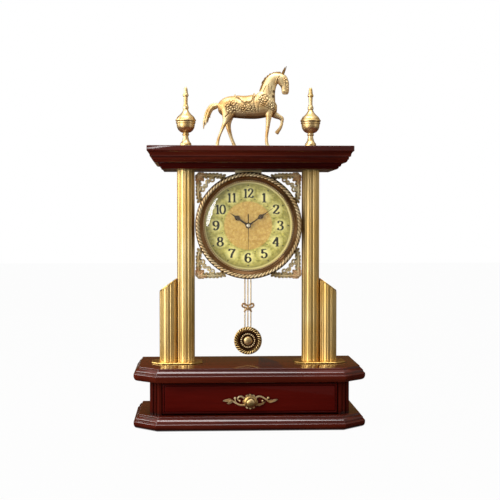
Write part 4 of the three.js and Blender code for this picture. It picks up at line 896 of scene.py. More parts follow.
# %% Finials
finial_line = profile(
    (0, 0), (7.6, 0), (8, 0.2), (8, 6.4), (7.8, 7.4, 7.2, 8.0), (5.6, 9.6, 4.6, 12.8), (3.7, 15.6, 3.7, 18.4),
    (4.6, 18.8), (5.2, 19.6, 4.8, 20.5), (4.2, 20.9), (4.3, 22.4),
    (9.6, 23.2, 12.2, 29.4), (13.0, 32.4, 12.9, 35.4), (13.7, 35.5), (13.9, 36.2), (13.8, 37.8), (13.2, 38.1),
    (13.3, 38.6), (14.4, 38.9), (14.6, 39.6), (14.6, 40.6), (14.2, 41.3, 13.4, 41.5),
    (12.7, 44.0, 11.0, 45.8), (7.2, 48.8, 5.3, 51.6), (3.9, 53.8, 3.3, 55.8), (4.1, 56.4),
    (4.4, 58.4, 3.6, 60.6), (3.0, 61.6), (2.7, 66), (3.0, 73.6), (4.0, 74.4), (4.3, 75.6, 3.8, 77.0),
    (3.1, 78.4), (2.6, 83.6), (2.1, 87.4, 0, 87.5))
for name in ("finial_left", "finial_right"):
    finial = turned(finial_line, 72, "Z", underside(name))
    settle(f"{name}_turned", [finial], turned_brass, name, sharp=40)

# %% [markdown]
# ## Bezel, rope and beads
#
# The clock head's rim is a brown bronze ring with a thin dark edge. On it lies a rope of slanted gold
# strands, inside that a hollow band, and round the glass a row of tiny beads. The ring is turned round Y.
# One strand and one bead are given, and the ring tree sets the copies.

# %% Bezel
bezel_radius = half_width("bezel")
bezel_back = corners("bezel")[1].y
lens_radius = half_width("lens")
glass_edge = bezel_radius - lens_radius - 0.3
bezel_section = profile(
    (glass_edge, 0), (0.6, 0), (0, 0.6), (0, 3.2), (0, 4, 1, 4), (5.7, 4), (5.8, 6.4), (6.2, 7, 7, 6.8),
    (7.8, 6.2), (9.2, 3.9, 10.4, 3.6), (11, 3.7), (11, 2.5), (13.4, 2.5), (13.4, 1.6), (glass_edge, 1.6))
bezel_line = [(bezel_radius - inset, bezel_back - forward) for inset, forward in bezel_section]
settle("bezel_turned", [round_dial(bezel_line, 160, loop=True)], band_bronze, "bezel", sharp=40)

# %% Rope
ROPE_STRANDS = 84
ROPE_LEAN = math.radians(32)
ROPE_INSET = 3.7
STRAND_HALF = 4.6
CORE_STEPS = 160
rope_y = middle("rope_ring").y
rope_circle = half_width("rope_ring") - ROPE_INSET
strand_rows = []
for s in range(11):
    t = s / 5 - 1
    fat = max(1 - abs(t) ** 3, 0.0) ** 0.5
    strand_rows.append([STRAND_HALF * t * math.cos(ROPE_LEAN), -1.0 - 0.9 * math.cos(1.4 * t),
                        STRAND_HALF * t * math.sin(ROPE_LEAN), 0.1 + 1.3 * fat, 0.1 + 0.9 * fat])
rope = ringed(swept(strand_rows, 10), ROPE_STRANDS, Vector((0, rope_y, head.z)), rosy_gold, rope_circle)
settle("rope_rim", rope, rosy_gold, "rope_ring", sharp=60)
core_circle = rope_circle + 0.8
core_rows = [[core_circle * math.sin(TAU * i / CORE_STEPS), rope_y,
              head.z + core_circle * math.cos(TAU * i / CORE_STEPS), 2.8, 1.5] for i in range(CORE_STEPS)]
settle("rope_ground", [swept(core_rows, 10, loop=True)], dark_bronze, follows="rope_ring", sharp=60)

# %% Beads
BEADS = 140
BEAD = 0.92
BEAD_INSET = 0.9
bead_line = profile((0, -BEAD), (BEAD, -BEAD, BEAD, 0), (BEAD, BEAD, 0, BEAD), steps=3)
beads = ringed(turned(bead_line, 8, "Y"), BEADS, Vector((0, middle("bead_ring").y, head.z)), rosy_gold,
               half_width("bead_ring") - BEAD_INSET)
settle("bead_row", beads, rosy_gold, "bead_ring", sharp=180)

# %% [markdown]
# ## Glass
#
# The glass is a thin dome. Principled glass would block the lamps, so on shadow rays it is swapped for a
# clear shader and the dial stays lit.

# %% Lens


def clear_glass():
    material, tree = new_finish("domed mineral glass", {
        "Base Color": colour("#fbfdfb"), "Roughness": 0.015, "IOR": 1.45, "Transmission Weight": 1.0})
    place = add(tree, "ShaderNodeTexCoord", output="Object")
    smear = add(tree, "ShaderNodeTexNoise", {"Vector": place, "Scale": 1 / (30 * MM), "Detail": 2})
    haze = add(tree, "ShaderNodeMapRange", {0: smear, 1: 0.35, 2: 0.75, 3: 0.01, 4: 0.03})
    feed(tree, {"Roughness": haze})
    shadow = add(tree, "ShaderNodeLightPath", output="Is Shadow Ray")
    glass = tree.nodes["Principled BSDF"].outputs[0]
    clear = add(tree, "ShaderNodeBsdfTransparent")
    mixed = add(tree, "ShaderNodeMixShader", {0: shadow, 1: glass, 2: clear})
    feed(tree, {"Surface": mixed}, "Material Output")
    return material


lens_back = corners("lens")[1].y
rim, rise, thickness = lens_radius - 2.3, 4.6, 1.3
lens_line = profile(
    (0, lens_back - rise), (rim / 2, lens_back - rise, rim, lens_back), (lens_radius, lens_back),
    (lens_radius, lens_back - thickness), (rim, lens_back - thickness),
    (rim / 2, lens_back - thickness - rise, 0, lens_back - thickness - rise), steps=24)
settle("lens_dome", [round_dial(lens_line, 128)], clear_glass(), "lens", sharp=50)

# %% [markdown]
# ## Dial
#
# The dial is a printed card: olive gold with a mottled leaf ground, a warm disc in the middle, and a soft
# pale glow round each numeral. All of that follows from a point's distance and angle from the middle, so a
# few maths nodes paint it. The angle is folded twelve times, and one glow serves every numeral.
# Towards its rim the card is darkened as painted shade of the bezel.

# %% Dial card
NUMERAL_CIRCLE = 46.2
CENTRE_DISC = 34.4
HOUR_DOTS, HALF_DOTS, MINUTE_DOTS = 57.5, 38.5, 59.6
DIAL_HOLE = 3.8


def printed_card():
    material, tree = new_finish("printed dial card, painted rim shade", {"Roughness": 0.5, "Specular IOR Level": 0.25})
    place = add(tree, "ShaderNodeTexCoord", output="Object")
    flat = add(tree, "ShaderNodeMapping", {
        "Vector": place, "Location": (0, 0, -head.z * MM), "Scale": (1, 0, 1)})
    radius = add(tree, "ShaderNodeVectorMath", {0: flat}, "Value", operation="LENGTH")
    x, _, z = add(tree, "ShaderNodeSeparateXYZ", {0: flat}, output=None).outputs
    angle = add(tree, "ShaderNodeMath", {0: x, 1: z}, operation="ARCTAN2")
    hours = add(tree, "ShaderNodeMath", {0: angle, 1: 12 / TAU, 2: 0.5}, operation="MULTIPLY_ADD")
    folded = add(tree, "ShaderNodeMath", {0: hours}, operation="FRACT")
    off_hour = add(tree, "ShaderNodeMath", {0: folded, 1: TAU / 12, 2: -TAU / 24}, operation="MULTIPLY_ADD")
    near = add(tree, "ShaderNodeMath", {0: off_hour}, operation="COSINE")
    out = add(tree, "ShaderNodeMath", {0: radius, 1: near}, operation="MULTIPLY")
    out = add(tree, "ShaderNodeMath", {0: out, 1: NUMERAL_CIRCLE * MM}, operation="SUBTRACT")
    aside = add(tree, "ShaderNodeMath", {0: off_hour}, operation="SINE")
    aside = add(tree, "ShaderNodeMath", {0: aside, 1: radius}, operation="MULTIPLY")
    from_numeral = add(tree, "ShaderNodeCombineXYZ", {0: out, 1: aside})
    far = add(tree, "ShaderNodeVectorMath", {0: from_numeral}, "Value", operation="LENGTH")
    leaves = add(tree, "ShaderNodeTexVoronoi", {"Vector": flat, "Scale": 1 / (4.5 * MM), "Randomness": 1.0})
    mottle = add(tree, "ShaderNodeTexNoise", {"Vector": flat, "Scale": 1 / (3 * MM), "Detail": 5})
    ground = add(tree, "ShaderNodeMath", {0: leaves, 1: 0.5, 2: mottle}, operation="MULTIPLY_ADD")
    ground = add(tree, "ShaderNodeMapRange", {0: ground, 1: 0.45, 2: 0.95})
    glow = add(tree, "ShaderNodeMapRange", {0: far, 1: 11.5 * MM, 2: 4.5 * MM, 4: 0.9})
    # Painted shade of the bezel: the card darkens towards its rim.
    shade = add(tree, "ShaderNodeMapRange", {0: radius, 1: 52 * MM, 2: 61 * MM, 4: 0.6})
    edge = add(tree, "ShaderNodeMapRange", {0: radius, 1: 60.4 * MM, 2: 60.9 * MM})
    tone = colour("#d2c468")
    for share, code in ((ground, "#8c8434"), (glow, "#eadf90"), (shade, "#877f38"), (edge, "#d2c684")):
        tone = add(tree, "ShaderNodeMix", {0: share, 6: tone, 7: colour(code)}, 2, data_type="RGBA")
    warm = add(tree, "ShaderNodeMix", {
        0: ground, 6: colour("#ceac5c"), 7: colour("#b48a3e")}, 2, data_type="RGBA")
    disc_start, disc_end = (CENTRE_DISC + 0.8) * MM, (CENTRE_DISC - 0.6) * MM
    inside = add(tree, "ShaderNodeMapRange", {0: radius, 1: disc_start, 2: disc_end})
    tone = add(tree, "ShaderNodeMix", {0: inside, 6: tone, 7: warm}, 2, data_type="RGBA")
    sheen = add(tree, "ShaderNodeMapRange", {0: mottle, 3: 0.4, 4: 0.6})
    feed(tree, {"Base Color": tone, "Roughness": sheen})
    return material


dial_low, dial_high = corners("dial")
card_radius = half_width("dial")
card_line = [(DIAL_HOLE, dial_low.y), (card_radius - 0.2, dial_low.y), (card_radius, dial_low.y + 0.2),
             (card_radius, dial_high.y), (DIAL_HOLE, dial_high.y)]
settle("dial_card", [round_dial(card_line, 128, loop=True)], printed_card(), "dial")

# %% [markdown]
# ## Numerals
#
# The numerals are upright, with thick stems and thin joins, as a broad pen makes them. So each numeral is
# written here as pen strokes in a box one unit tall, and a stroke is wide where the pen goes up or down
# and thin where it goes across. Small discs are the ball ends. No font is needed.

# %% Numeral strokes
BALL = 0.075


def oval(x, z, half_wide, half_tall, steps):
    angles = [TAU * i / steps for i in range(steps + 1)]
    return [(x + half_wide * math.sin(a), z + half_tall * math.cos(a)) for a in angles]


SIX = [(0.46, 0.84), (0.38, 0.955), (0.25, 0.94), (0.12, 0.74), (0.08, 0.45), (0.12, 0.17), (0.28, 0.03),
       (0.44, 0.11), (0.5, 0.3), (0.43, 0.5), (0.29, 0.57), (0.15, 0.48), (0.09, 0.34)]
STROKES = {
    "0": [oval(0.3, 0.5, 0.235, 0.47, 12)],
    "1": [[(0.3, 0.03), (0.3, 0.97)], [(0.3, 0.96), (0.22, 0.86), (0.12, 0.82)],
          [(0.13, 0.03), (0.47, 0.03)]],
    "2": [[(0.12, 0.74), (0.14, 0.88), (0.28, 0.97), (0.45, 0.89), (0.48, 0.72), (0.38, 0.5), (0.2, 0.26),
           (0.08, 0.07)],
          [(0.08, 0.07), (0.22, 0.11), (0.4, 0.04), (0.5, 0.1), (0.53, 0.24)]],
    "3": [[(0.12, 0.8), (0.16, 0.92), (0.29, 0.97), (0.44, 0.89), (0.46, 0.73), (0.38, 0.58), (0.24, 0.54)],
          [(0.24, 0.54), (0.42, 0.48), (0.5, 0.29), (0.43, 0.09), (0.27, 0.03), (0.13, 0.09), (0.1, 0.2)]],
    "4": [[(0.4, 0.03), (0.4, 0.97)], [(0.4, 0.97), (0.22, 0.6), (0.04, 0.29)], [(0.04, 0.28), (0.56, 0.28)],
          [(0.26, 0.03), (0.54, 0.03)]],
    "5": [[(0.15, 0.95), (0.3, 0.92), (0.47, 0.96)], [(0.15, 0.95), (0.13, 0.5)],
          [(0.13, 0.5), (0.28, 0.6), (0.45, 0.5), (0.5, 0.3), (0.42, 0.1), (0.26, 0.03), (0.12, 0.09),
           (0.1, 0.2)]],
    "6": [SIX],
    "7": [[(0.07, 0.76), (0.1, 0.93), (0.24, 0.96), (0.4, 0.91), (0.54, 0.96)],
          [(0.54, 0.96), (0.38, 0.62), (0.27, 0.32), (0.25, 0.03)]],
    "8": [oval(0.3, 0.755, 0.165, 0.215, 10), oval(0.3, 0.275, 0.215, 0.245, 10)],
    "9": [[(0.6 - x, 1 - y) for x, y in SIX]],
}
BALLS = {"2": [(0.145, 0.75)], "3": [(0.15, 0.8), (0.13, 0.2)], "5": [(0.13, 0.2)], "6": [(0.44, 0.82)],
         "9": [(0.16, 0.18)]}
PEN_THIN, PEN_THICK = 0.05, 0.092
NUMERAL_HEIGHT = 13.6
WIDENED = {1: 1.28, 2: 1.12}
ADVANCE = {1: 0.6, 2: 0.46}
INK_RISE = 0.12


def pen_stroke(points, place, wide, size):
    """A flat raised ribbon along a stroke, widest where the pen goes straight up or down."""
    path = [Vector(p) for p in smooth(points, 5)]
    rings = []
    for k, here in enumerate(path):
        along = (path[min(k + 1, len(path) - 1)] - path[max(k - 1, 0)]).normalized()
        half = PEN_THIN + (PEN_THICK - PEN_THIN) * abs(along.y) ** 1.6
        side = Vector((-along.y, along.x)) * half
        left, right = here + side, here - side
        rings.append([place + Vector((p.x * wide, y, p.y * size)) for p, y in
                      ((left, 0), (left, -INK_RISE), (right, -INK_RISE), (right, 0))])
    return skin(rings)


def ink_dot(radius, sides, place=(0, 0, 0)):
    return turned([(0, 0), (radius, 0), (radius, -INK_RISE), (0, -INK_RISE)], sides, "Y", place)


def numeral(text, place):
    """The forms of a numeral whose middle is at the place on the dial."""
    size = NUMERAL_HEIGHT
    wide = size * WIDENED[len(text)]
    advance = ADVANCE[len(text)]
    forms = []
    for k, digit in enumerate(text):
        left = (k - len(text) / 2) * advance - (ADVANCE[1] - advance) / 2
        corner = place + Vector((left * wide, 0, -size / 2))
        forms += [pen_stroke(stroke, corner, wide, size) for stroke in STROKES[digit]]
        forms += [ink_dot(BALL * size, 16, corner + Vector((x * wide, 0, z * size)))
                  for x, z in BALLS.get(digit, [])]
    return forms


def printing_ink(name, code):
    material, tree = new_finish(name, {"Roughness": 0.5, "Specular IOR Level": 0.25})
    place = add(tree, "ShaderNodeTexCoord", output="Object")
    wear = add(tree, "ShaderNodeTexNoise", {"Vector": place, "Scale": 1 / (0.8 * MM), "Detail": 3})
    share = add(tree, "ShaderNodeMapRange", {0: wear, 1: 0.55, 2: 0.8, 4: 0.35})
    tone = add(tree, "ShaderNodeMix", {0: share, 6: colour(code), 7: colour("#6a6230")}, 2, data_type="RGBA")
    feed(tree, {"Base Color": tone})
    return material


olive_ink = printing_ink("dark olive ink", "#140e02")
dial_middle = Vector((0, dial_low.y, head.z))
forms = []
for hour in range(1, 13):
    angle = TAU * hour / 12
    out = Vector((NUMERAL_CIRCLE * math.sin(angle), 0, NUMERAL_CIRCLE * math.cos(angle)))
    forms += numeral(str(hour), dial_middle + out)
settle("dial_numerals", forms, olive_ink, follows="dial", sharp=60)

# %% Dots
dots = [ringed(ink_dot(size, 10), count, dial_middle, olive_ink, circle, start)
        for size, count, circle, start in ((1.1, 12, HOUR_DOTS, 0.0), (0.75, 12, HALF_DOTS, TAU / 24),
                                           (0.45, 60, MINUTE_DOTS, 0.0))]
settle("dial_dots", joined("dots", *dots), olive_ink, follows="dial", sharp=60)

# %% [markdown]
# ## Hands
#
# The hands are stamped from brown metal with a raised ridge along the middle. Each is a row of five-sided
# sections: a round hub, a slim shaft, a pointed swelling and a needle. They show nine minutes past ten.

# %% Hands
REST_HOUR, REST_MINUTE, REST_SECOND = 10, 9.15, 30
CAP_RISE = 1.4
NEEDLE_FLAT = 0.3
HOUR_HAND = [(-4.2, 0.4), (-3.6, 2.2), (-2, 3.7), (0, 4.2), (2, 3.7), (3.8, 2.0), (5, 1.35), (13.6, 1.1),
             (14.6, 1.6), (17, 3.3), (19, 3.8), (20.6, 3.2), (22.4, 1.7), (24.4, 0.8), (32, 0.2)]
MINUTE_HAND = [(-4.2, 0.4), (-3.6, 2.2), (-2, 3.7), (0, 4.2), (2, 3.7), (3.8, 1.8), (5, 1.1), (16.6, 0.9),
               (17.8, 1.5), (20, 3.0), (22, 3.5), (23.6, 3.0), (25.6, 1.6), (28, 0.7), (44, 0.2)]
SECOND_HAND = [(-16.4, 0.8), (-15.6, 0.9), (-6, 0.7), (-3, 1.2), (-2, 2.0), (0, 2.5), (2, 2.0), (3, 0.9),
               (5, 0.55), (36.8, 0.2)]


def hand(node, rows, turn_share):
    """A hand turned to its place. The second hand is a thin needle under its cap."""
    low, high = corners(node)
    needle = node == "second_hand"
    flat = NEEDLE_FLAT if needle else (high.y - low.y) / 2
    place = Vector((0, low.y + flat + (CAP_RISE if needle else 0), head.z))
    turn = Matrix.Translation(place) @ Matrix.Rotation(TAU * turn_share, 4, "Y")
    section = ((-1, 1), (1, 1), (1, -0.2), (0, -1), (-1, -0.2))
    rings = [[(half * s, flat * d, along) for s, d in section] for along, half in rows]
    return moved(skin(rings), turn)


for node, piece, rows, turn_share in (
        ("hour_hand", "leaf", HOUR_HAND, (REST_HOUR + REST_MINUTE / 60) / 12),
        ("minute_hand", "leaf", MINUTE_HAND, REST_MINUTE / 60),
        ("second_hand", "needle", SECOND_HAND, REST_SECOND / 60)):
    settle(f"{node}_{piece}", [hand(node, rows, turn_share)], hand_bronze, node, sharp=25)
cap_front = corners("second_hand")[0].y
cap_back = cap_front + 1.6
cap_line = profile((0, cap_front), (2.4, cap_front, 2.7, cap_front + 1.2), (2.7, cap_back), (0, cap_back))
nickel = rubbed_casting("polished nickel cap", "#7a7468", "#b4ab9a", "#cfc6b4", 0.35, 1)
settle("hand_cap", [round_dial(cap_line, 32)], nickel, follows="second_hand")

# %% [markdown]
# ## Relief ornament
#
# Leaves, stems and curls of the frame and the drawer pull are low castings on a flat back. Each is a row of
# sections along a path: a leaf has a sunk vein between two rounded halves and may have a lobed edge, and a
# stem is half round. The path is given in the plane of the ornament, as x, z and half width.

# %% Relief tools
LEAF = ((-1, 0), (-0.96, 0.4), (-0.5, 1), (0, 0.55), (0.5, 1), (0.96, 0.4), (1, 0))
STEM = ((-1, 0), (-0.9, 0.5), (-0.5, 0.88), (0, 1), (0.5, 0.88), (0.9, 0.5), (1, 0))
PLATE = ((-1, 0), (-1, 0.8), (-0.9, 1), (0.9, 1), (1, 0.8), (1, 0))
CURL_STEPS, CURL_DRAW = 14, 0.62


def relief(rows, back, rise, section=LEAF, lobes=0, notch=0.35):
    """A low casting along rows of x, z and half width; it lies on the plane y = back and faces the front."""
    path = smooth(rows, 6)
    rings = []
    for k, (x, z, half) in enumerate(path):
        before, after = path[max(k - 1, 0)], path[min(k + 1, len(path) - 1)]
        along = Vector((after[0] - before[0], after[1] - before[1])).normalized()
        wave = abs(math.sin(math.pi * lobes * k / (len(path) - 1))) if lobes else 1
        reach = half * (1 - notch * (1 - wave))
        tall = rise * min(1, 0.35 + half / 2)
        rings.append([(x - along.y * reach * s, back - tall * h, z + along.x * reach * s)
                      for s, h in section])
    return skin(rings)


def curl(x, z, radius, start, turns, half, back, rise):
    """A scroll that winds in from a start angle, ending in a ball."""
    rows = []
    for s in range(CURL_STEPS + 1):
        t = s / CURL_STEPS
        angle = start + TAU * turns * t
        reach = radius * (1 - CURL_DRAW * t)
        rows.append((x + reach * math.cos(angle), z + reach * math.sin(angle), half * (1 - 0.3 * t)))
    ball = berry(rows[-1][0], rows[-1][1], half * 1.15, back, rise * 1.1)
    return [relief(rows, back, rise, STEM), ball]


def berry(x, z, radius, back, rise):
    dome = profile((0, 0), (radius, 0), (radius, -rise, 0, -rise), steps=5)
    return turned(dome, 14, "Y", (x, back, z))


print("relief tools ready")

# %% [markdown]
# ## Frame behind the bezel
#
# A pierced casting fills the four corners round the bezel: an L of overlapping leaves with scrolls on its
# inner side, and a coppery leaf in each corner. One corner is written as distances along an edge and in
# from it, and turned four times. A ring behind the bezel joins the corners, and a tab meets the cornice.

# %% Frame corners
frame_low, frame_high = corners("head_frame")
half_frame = half_width("head_frame")
LEAF_BACK, LEAF_RISE = frame_high.y - 1.0, 2.8
ARM_STEM = [(2, 4.6, 1.7), (12, 4.4, 2.0), (24, 4.2, 1.9), (34, 4.8, 1.7), (42, 7.2, 0.9)]
LEAF_STEP = 5.2
LEAVES = 8
ARM_CURL = (24.6, 10.2, 4.2)
DIAGONAL_SCROLL = [(2.6, 0.4), (3.6, -0.9), (5.2, 0.2), (4.6, 2.4), (2.2, 2.6), (0, 0), (-2.2, -2.6),
                   (-4.6, -2.4), (-5.2, -0.2), (-3.6, 0.9), (-2.6, -0.4)]
SCROLL_PLACE = 16.2
HALF_ROOT = 0.707
CORNER_LEAF = [(12.4, 12.4, 1.0), (9.4, 9.4, 3.4), (6.2, 6.2, 3.8), (2.4, 2.4, 0.8)]
ARM_PLATE = [(2.4, 4.6, 2.4), (10, 4.6, 2.6), (20, 4.4, 2.6), (30, 4.6, 2.4), (41, 6.8, 1.2)]


def arm_leaves():
    """Small leaves in pairs along the stem, the outer row short and the inner row longer near the curl."""
    rows = []
    for k in range(LEAVES):
        a = 2.6 + LEAF_STEP * k
        drop = max(0, k - 5) * 0.9
        rows.append([(a, 4.6 + drop, 1.4), (a + 2.4, 2.8 + drop, 2.4), (a + 4.6, 1.2 + drop, 0.9)])
        rows.append([(a + 0.6, 4.8 + drop, 1.4), (a + 2.8, 7.0 + drop, 2.3), (a + 5.0, 8.6 + drop, 0.8)])
    return rows


def corner_forms():
    """Forms of the corner at high X and high Z, measured from the middle of the dial."""
    forms = []
    for swap in (False, True):
        def placed(rows):
            pairs = [(d, a, half) if swap else (a, d, half) for a, d, half in rows]
            return [(half_frame - x, half_frame - z, half) for x, z, half in pairs]
        forms.append(relief(placed(ARM_PLATE), frame_high.y, 1.1, PLATE, lobes=9, notch=0.2))
        forms.append(relief(placed(ARM_STEM), LEAF_BACK, LEAF_RISE, STEM))
        forms += [relief(placed(rows), LEAF_BACK, LEAF_RISE, LEAF) for rows in arm_leaves()]
        (x, z, radius), = placed([ARM_CURL])
        start, turns = (-0.6, 1.15) if swap else (math.pi / 2 + 0.6, -1.15)
        forms += curl(x, z, radius, start, turns, 1.6, LEAF_BACK, LEAF_RISE)
    diagonal = half_frame - SCROLL_PLACE
    scroll = [(diagonal + (u + v) * HALF_ROOT, diagonal + (v - u) * HALF_ROOT, 1.6)
              for u, v in DIAGONAL_SCROLL]
    forms.append(relief(scroll, LEAF_BACK, LEAF_RISE, STEM))
    return forms


def four_corners(forms):
    turns = [Matrix.Translation((0, 0, head.z)) @ Matrix.Rotation(TAU * k / 4, 4, "Y") for k in range(4)]
    return [moved(form, turn) for turn in turns for form in forms]


ring_inner, ring_outer = bezel_radius - 12.6, bezel_radius - 1
ring_line = [(ring_inner, frame_high.y), (ring_outer, frame_high.y), (ring_outer, frame_low.y + 0.3),
             (ring_outer - 0.4, frame_low.y), (ring_inner, frame_low.y)]
ring_form = round_dial(ring_line, 128, loop=True)
TAB_HALF = 19
TAB_FOOT = 69
tab_front = frame_low.y + 0.4
tab_section = ((-TAB_HALF, frame_high.y), (TAB_HALF, frame_high.y), (TAB_HALF - 0.6, tab_front),
               (-TAB_HALF + 0.6, tab_front))
tab_form = skin([[(x, y, z) for x, y in tab_section] for z in (head.z + TAB_FOOT, frame_high.z)])
settle("frame_filigree", [ring_form, tab_form, *four_corners(corner_forms())], antique_gold, "head_frame",
       sharp=50)
copper_gilt = rubbed_casting("coppery gilt casting", "#5a3418", "#d2a070", "#eccaa0", 0.42, 1.2, 0.25)
LEAF_FAN = {0: 1.0, 0.55: 0.75, -0.55: 0.75}


def fan_leaf(angle, width):
    """One leaf of the three that spread from the corner."""
    rows = []
    for x, z, half in CORNER_LEAF:
        run = Matrix.Rotation(angle, 2) @ Vector((x, z))
        rows.append((half_frame - run.x, half_frame - run.y, half * width))
    return relief(rows, LEAF_BACK - 0.6, 3.0, LEAF, 3)


corner_fan = [fan_leaf(angle, width) for angle, width in LEAF_FAN.items()]
settle("frame_corner_leaves", four_corners(corner_fan), copper_gilt, follows="head_frame", sharp=50)

# %% [markdown]
# ## Drawer pull
#
# The pull is a rosette with an S of leaf scrolls to each side and a domed knob in the middle. The two wings
# are nearly the same shape turned half round, as such handles are, with berries between the leaves.

# %% Pull plate
pull_back = corners("drawer_pull_plate")[1].y
pull = middle("drawer_knob")
PULL_RISE = 2.0
PETALS = 12
PETAL = [(0, 3.5, 1.4), (0, 7, 2.4), (0, 9.6, 1.9), (0, 10.5, 0.9)]
WING_STEMS = (
    [(-25, 1.4, 0.9), (-20, -1.8, 1.2), (-13.6, -4.6, 1.5), (-7, -4.2, 1.3)],
    [(-8.5, 4.6, 1.2), (-12.2, 7.2, 1.3), (-16.4, 6.2, 1.2), (-17, 2.9, 1.0), (-14.6, 1.4, 0.9)],
    [(-17.5, -3.0, 0.7), (-20.5, 0.6, 0.8), (-21, 4, 0.8)],
    [(7, 5.4, 1.3), (12, 7.3, 1.4), (17, 6.2, 1.3), (21, 3.6, 1.1), (25, 0.7, 0.9)],
    [(20, 4.2, 0.7), (23, 3.6, 0.7), (25, 4.8, 0.7)],
)
WING_LEAVES = (
    [(-24, 1.2, 1.0), (-28.5, 2.2, 2.5), (-33.5, 1.6, 1.9), (-38.3, 0.9, 0.3)],
    [(-24, 0.4, 0.7), (-28.5, -1.6, 1.5), (-32.5, -2.6, 0.3)],
    [(24, 0.7, 1.0), (28.5, 0.1, 2.4), (33.5, 1.4, 1.8), (38.3, 2.8, 0.3)],
    [(7.5, -3.6, 1.0), (12.5, -4.4, 1.9), (17.5, -2.6, 1.4), (21, -0.2, 0.3)],
)
BERRIES = ((-14.4, 1.2, 1.5), (-21, 4.9, 1.9), (25, 5.1, 1.8), (17, 1.0, 1.5))


def beside_knob(rows):
    return [(pull.x + x, pull.z + z, half) for x, z, half in rows]


wings = [relief(beside_knob(rows), pull_back, PULL_RISE, STEM) for rows in WING_STEMS]
wings += [relief(beside_knob(rows), pull_back, PULL_RISE, LEAF, lobes=2, notch=0.2) for rows in WING_LEAVES]
wings += [berry(pull.x + x, pull.z + z, r, pull_back, 1.9) for x, z, r in BERRIES]
petals = ringed(relief(PETAL, 0, 1.7), PETALS, Vector((pull.x, pull_back, pull.z)), rosy_gold)
settle("pull_scrolls", joined("pull", to_mesh("wings", *wings), petals), rosy_gold, "drawer_pull_plate",
       sharp=50)

# %% Knob
front, back = front_and_back("drawer_knob")
knob_line = profile(
    (0, back), (8.8, back), (9.2, back - 1.4, 7.6, back - 2.2), (5.2, back - 2.8, 4.2, back - 4),
    (4.3, back - 5.2), (6.2, back - 5.4, 6.7, front + 5.5), (6.9, front + 2.4, 4.6, front + 0.8),
    (2.8, front, 0, front))
settle("pull_knob", [turned(knob_line, 48, "Y", (pull.x, 0, pull.z))], turned_brass, "drawer_knob", sharp=50)
coat(frame["nodes"]["drawer_knob_screw"].data, zinc_steel)

# %% [markdown]
# ## Pendulum
#
# Three thin rods hang from the movement and carry a copper bow and a round bob. The bob is a turned dish
# with a rope round its edge, a scalloped hollow, a ring of beads and a domed boss.

# %% Grid and hanger
grid_low, grid_high = corners("pendulum_grid")
ROD = 0.8
BAR = 4.0
rod_pitch = half_width("pendulum_grid") - ROD - 0.6
rod_line = [(r, z) for z, r in ((grid_low.z + 1, 0), (grid_low.z + 1, ROD), (grid_high.z - 0.5, ROD),
                                (grid_high.z - 0.5, 0))]
rods = [turned(rod_line, 16, "Z", (k * rod_pitch, middle("pendulum_grid").y, 0)) for k in (-1, 0, 1)]
bar_line = profile((0.4, 0), (0, 0.4), (0, BAR - 0.4), (0.4, BAR))
bars = [board(rectangle(grid_low, grid_high), bar_line, z, 0.3) for z in (grid_low.z, grid_high.z - BAR)]
settle("pendulum_rods", [*rods, *bars], pale_gold, "pendulum_grid", sharp=40)
settle("pendulum_hanger_strip", softened("pendulum_hanger", 0.2), zinc_steel, "pendulum_hanger")
coat(frame["nodes"]["pendulum_pin"].data, zinc_steel)

# %% Bow
bow = middle("pendulum_bow")
bow_back = corners("pendulum_bow")[1].y
BOW_LOOP = [(0, 1.0, 1.0), (-3.4, 5.2, 1.25), (-7.4, 5.6, 1.4), (-8.0, 2.2, 1.25), (-4.2, 0.2, 1.1),
            (0, 0.2, 0.9)]
BOW_TAIL = [(0, 0.2, 1.0), (-2.6, -2.6, 1.3), (-5.6, -5.8, 1.2)]
bow_forms = []
for side in (1, -1):
    for rows in (BOW_LOOP, BOW_TAIL):
        placed_rows = [(bow.x + side * x, bow.z + z, half) for x, z, half in rows]
        bow_forms.append(relief(placed_rows, bow_back, 1.3, LEAF))
bow_forms += [berry(bow.x, bow.z + 0.6, 1.9, bow_back, 1.4), berry(bow.x, bow.z - 3.4, 1.3, bow_back, 1.2)]
settle("pendulum_bow_ribbons", bow_forms, bow_copper, "pendulum_bow", sharp=50)

# %% Bob
WAVE = [(-2.1, 14.4, 0.6), (-0.9, 16.0, 1.25), (0.5, 18.2, 1.35), (2.0, 19.7, 0.6)]
WAVES, BOB_BEADS = 30, 22
bob = middle("pendulum_bob")
bob_axis = (bob.x, 0, bob.z)
back = corners("pendulum_bob")[1].y
rim_radius = half_width("bob_rim")
dish_line = profile(
    (0, back), (rim_radius - 1.4, back), (rim_radius - 0.9, back - 0.5), (rim_radius - 0.9, back - 1.6),
    (15.2, back - 2.2), (14.6, back - 4.2), (13.8, back - 4.9), (12.9, back - 4.6), (11.6, back - 2.4),
    (0, back - 2.0))
dark_dish = rubbed_casting("blackened dish", "#1c0f06", "#3a2412", "#523520", 0.4, 3)
settle("bob_dish", [turned(dish_line, 72, "Y", bob_axis)], dark_dish, "pendulum_bob", sharp=35)
bob_middle = Vector((bob.x, back - 2.4, bob.z))
waves = ringed(relief(WAVE, 0, 2.2, STEM), WAVES, bob_middle, pale_gold)
edge_line = profile((rim_radius - 1.3, back - 1.6), (rim_radius, back - 1.6), (rim_radius, back - 3.2),
                    (rim_radius - 0.7, back - 3.8), (rim_radius - 1.3, back - 3.2))
edge = to_mesh("edge", turned(edge_line, 96, "Y", bob_axis, loop=True))
settle("bob_rope", joined("bob_rope", waves, edge), pale_gold, "bob_rim", sharp=60)
bob_beads = ringed(berry(0, 9.7, 1.2, 0, 1.5), BOB_BEADS, bob_middle, rosy_gold)
settle("bob_beads", bob_beads, rosy_gold, follows="pendulum_bob", sharp=60)
front, back = front_and_back("bob_boss")
boss_radius = half_width("bob_boss")
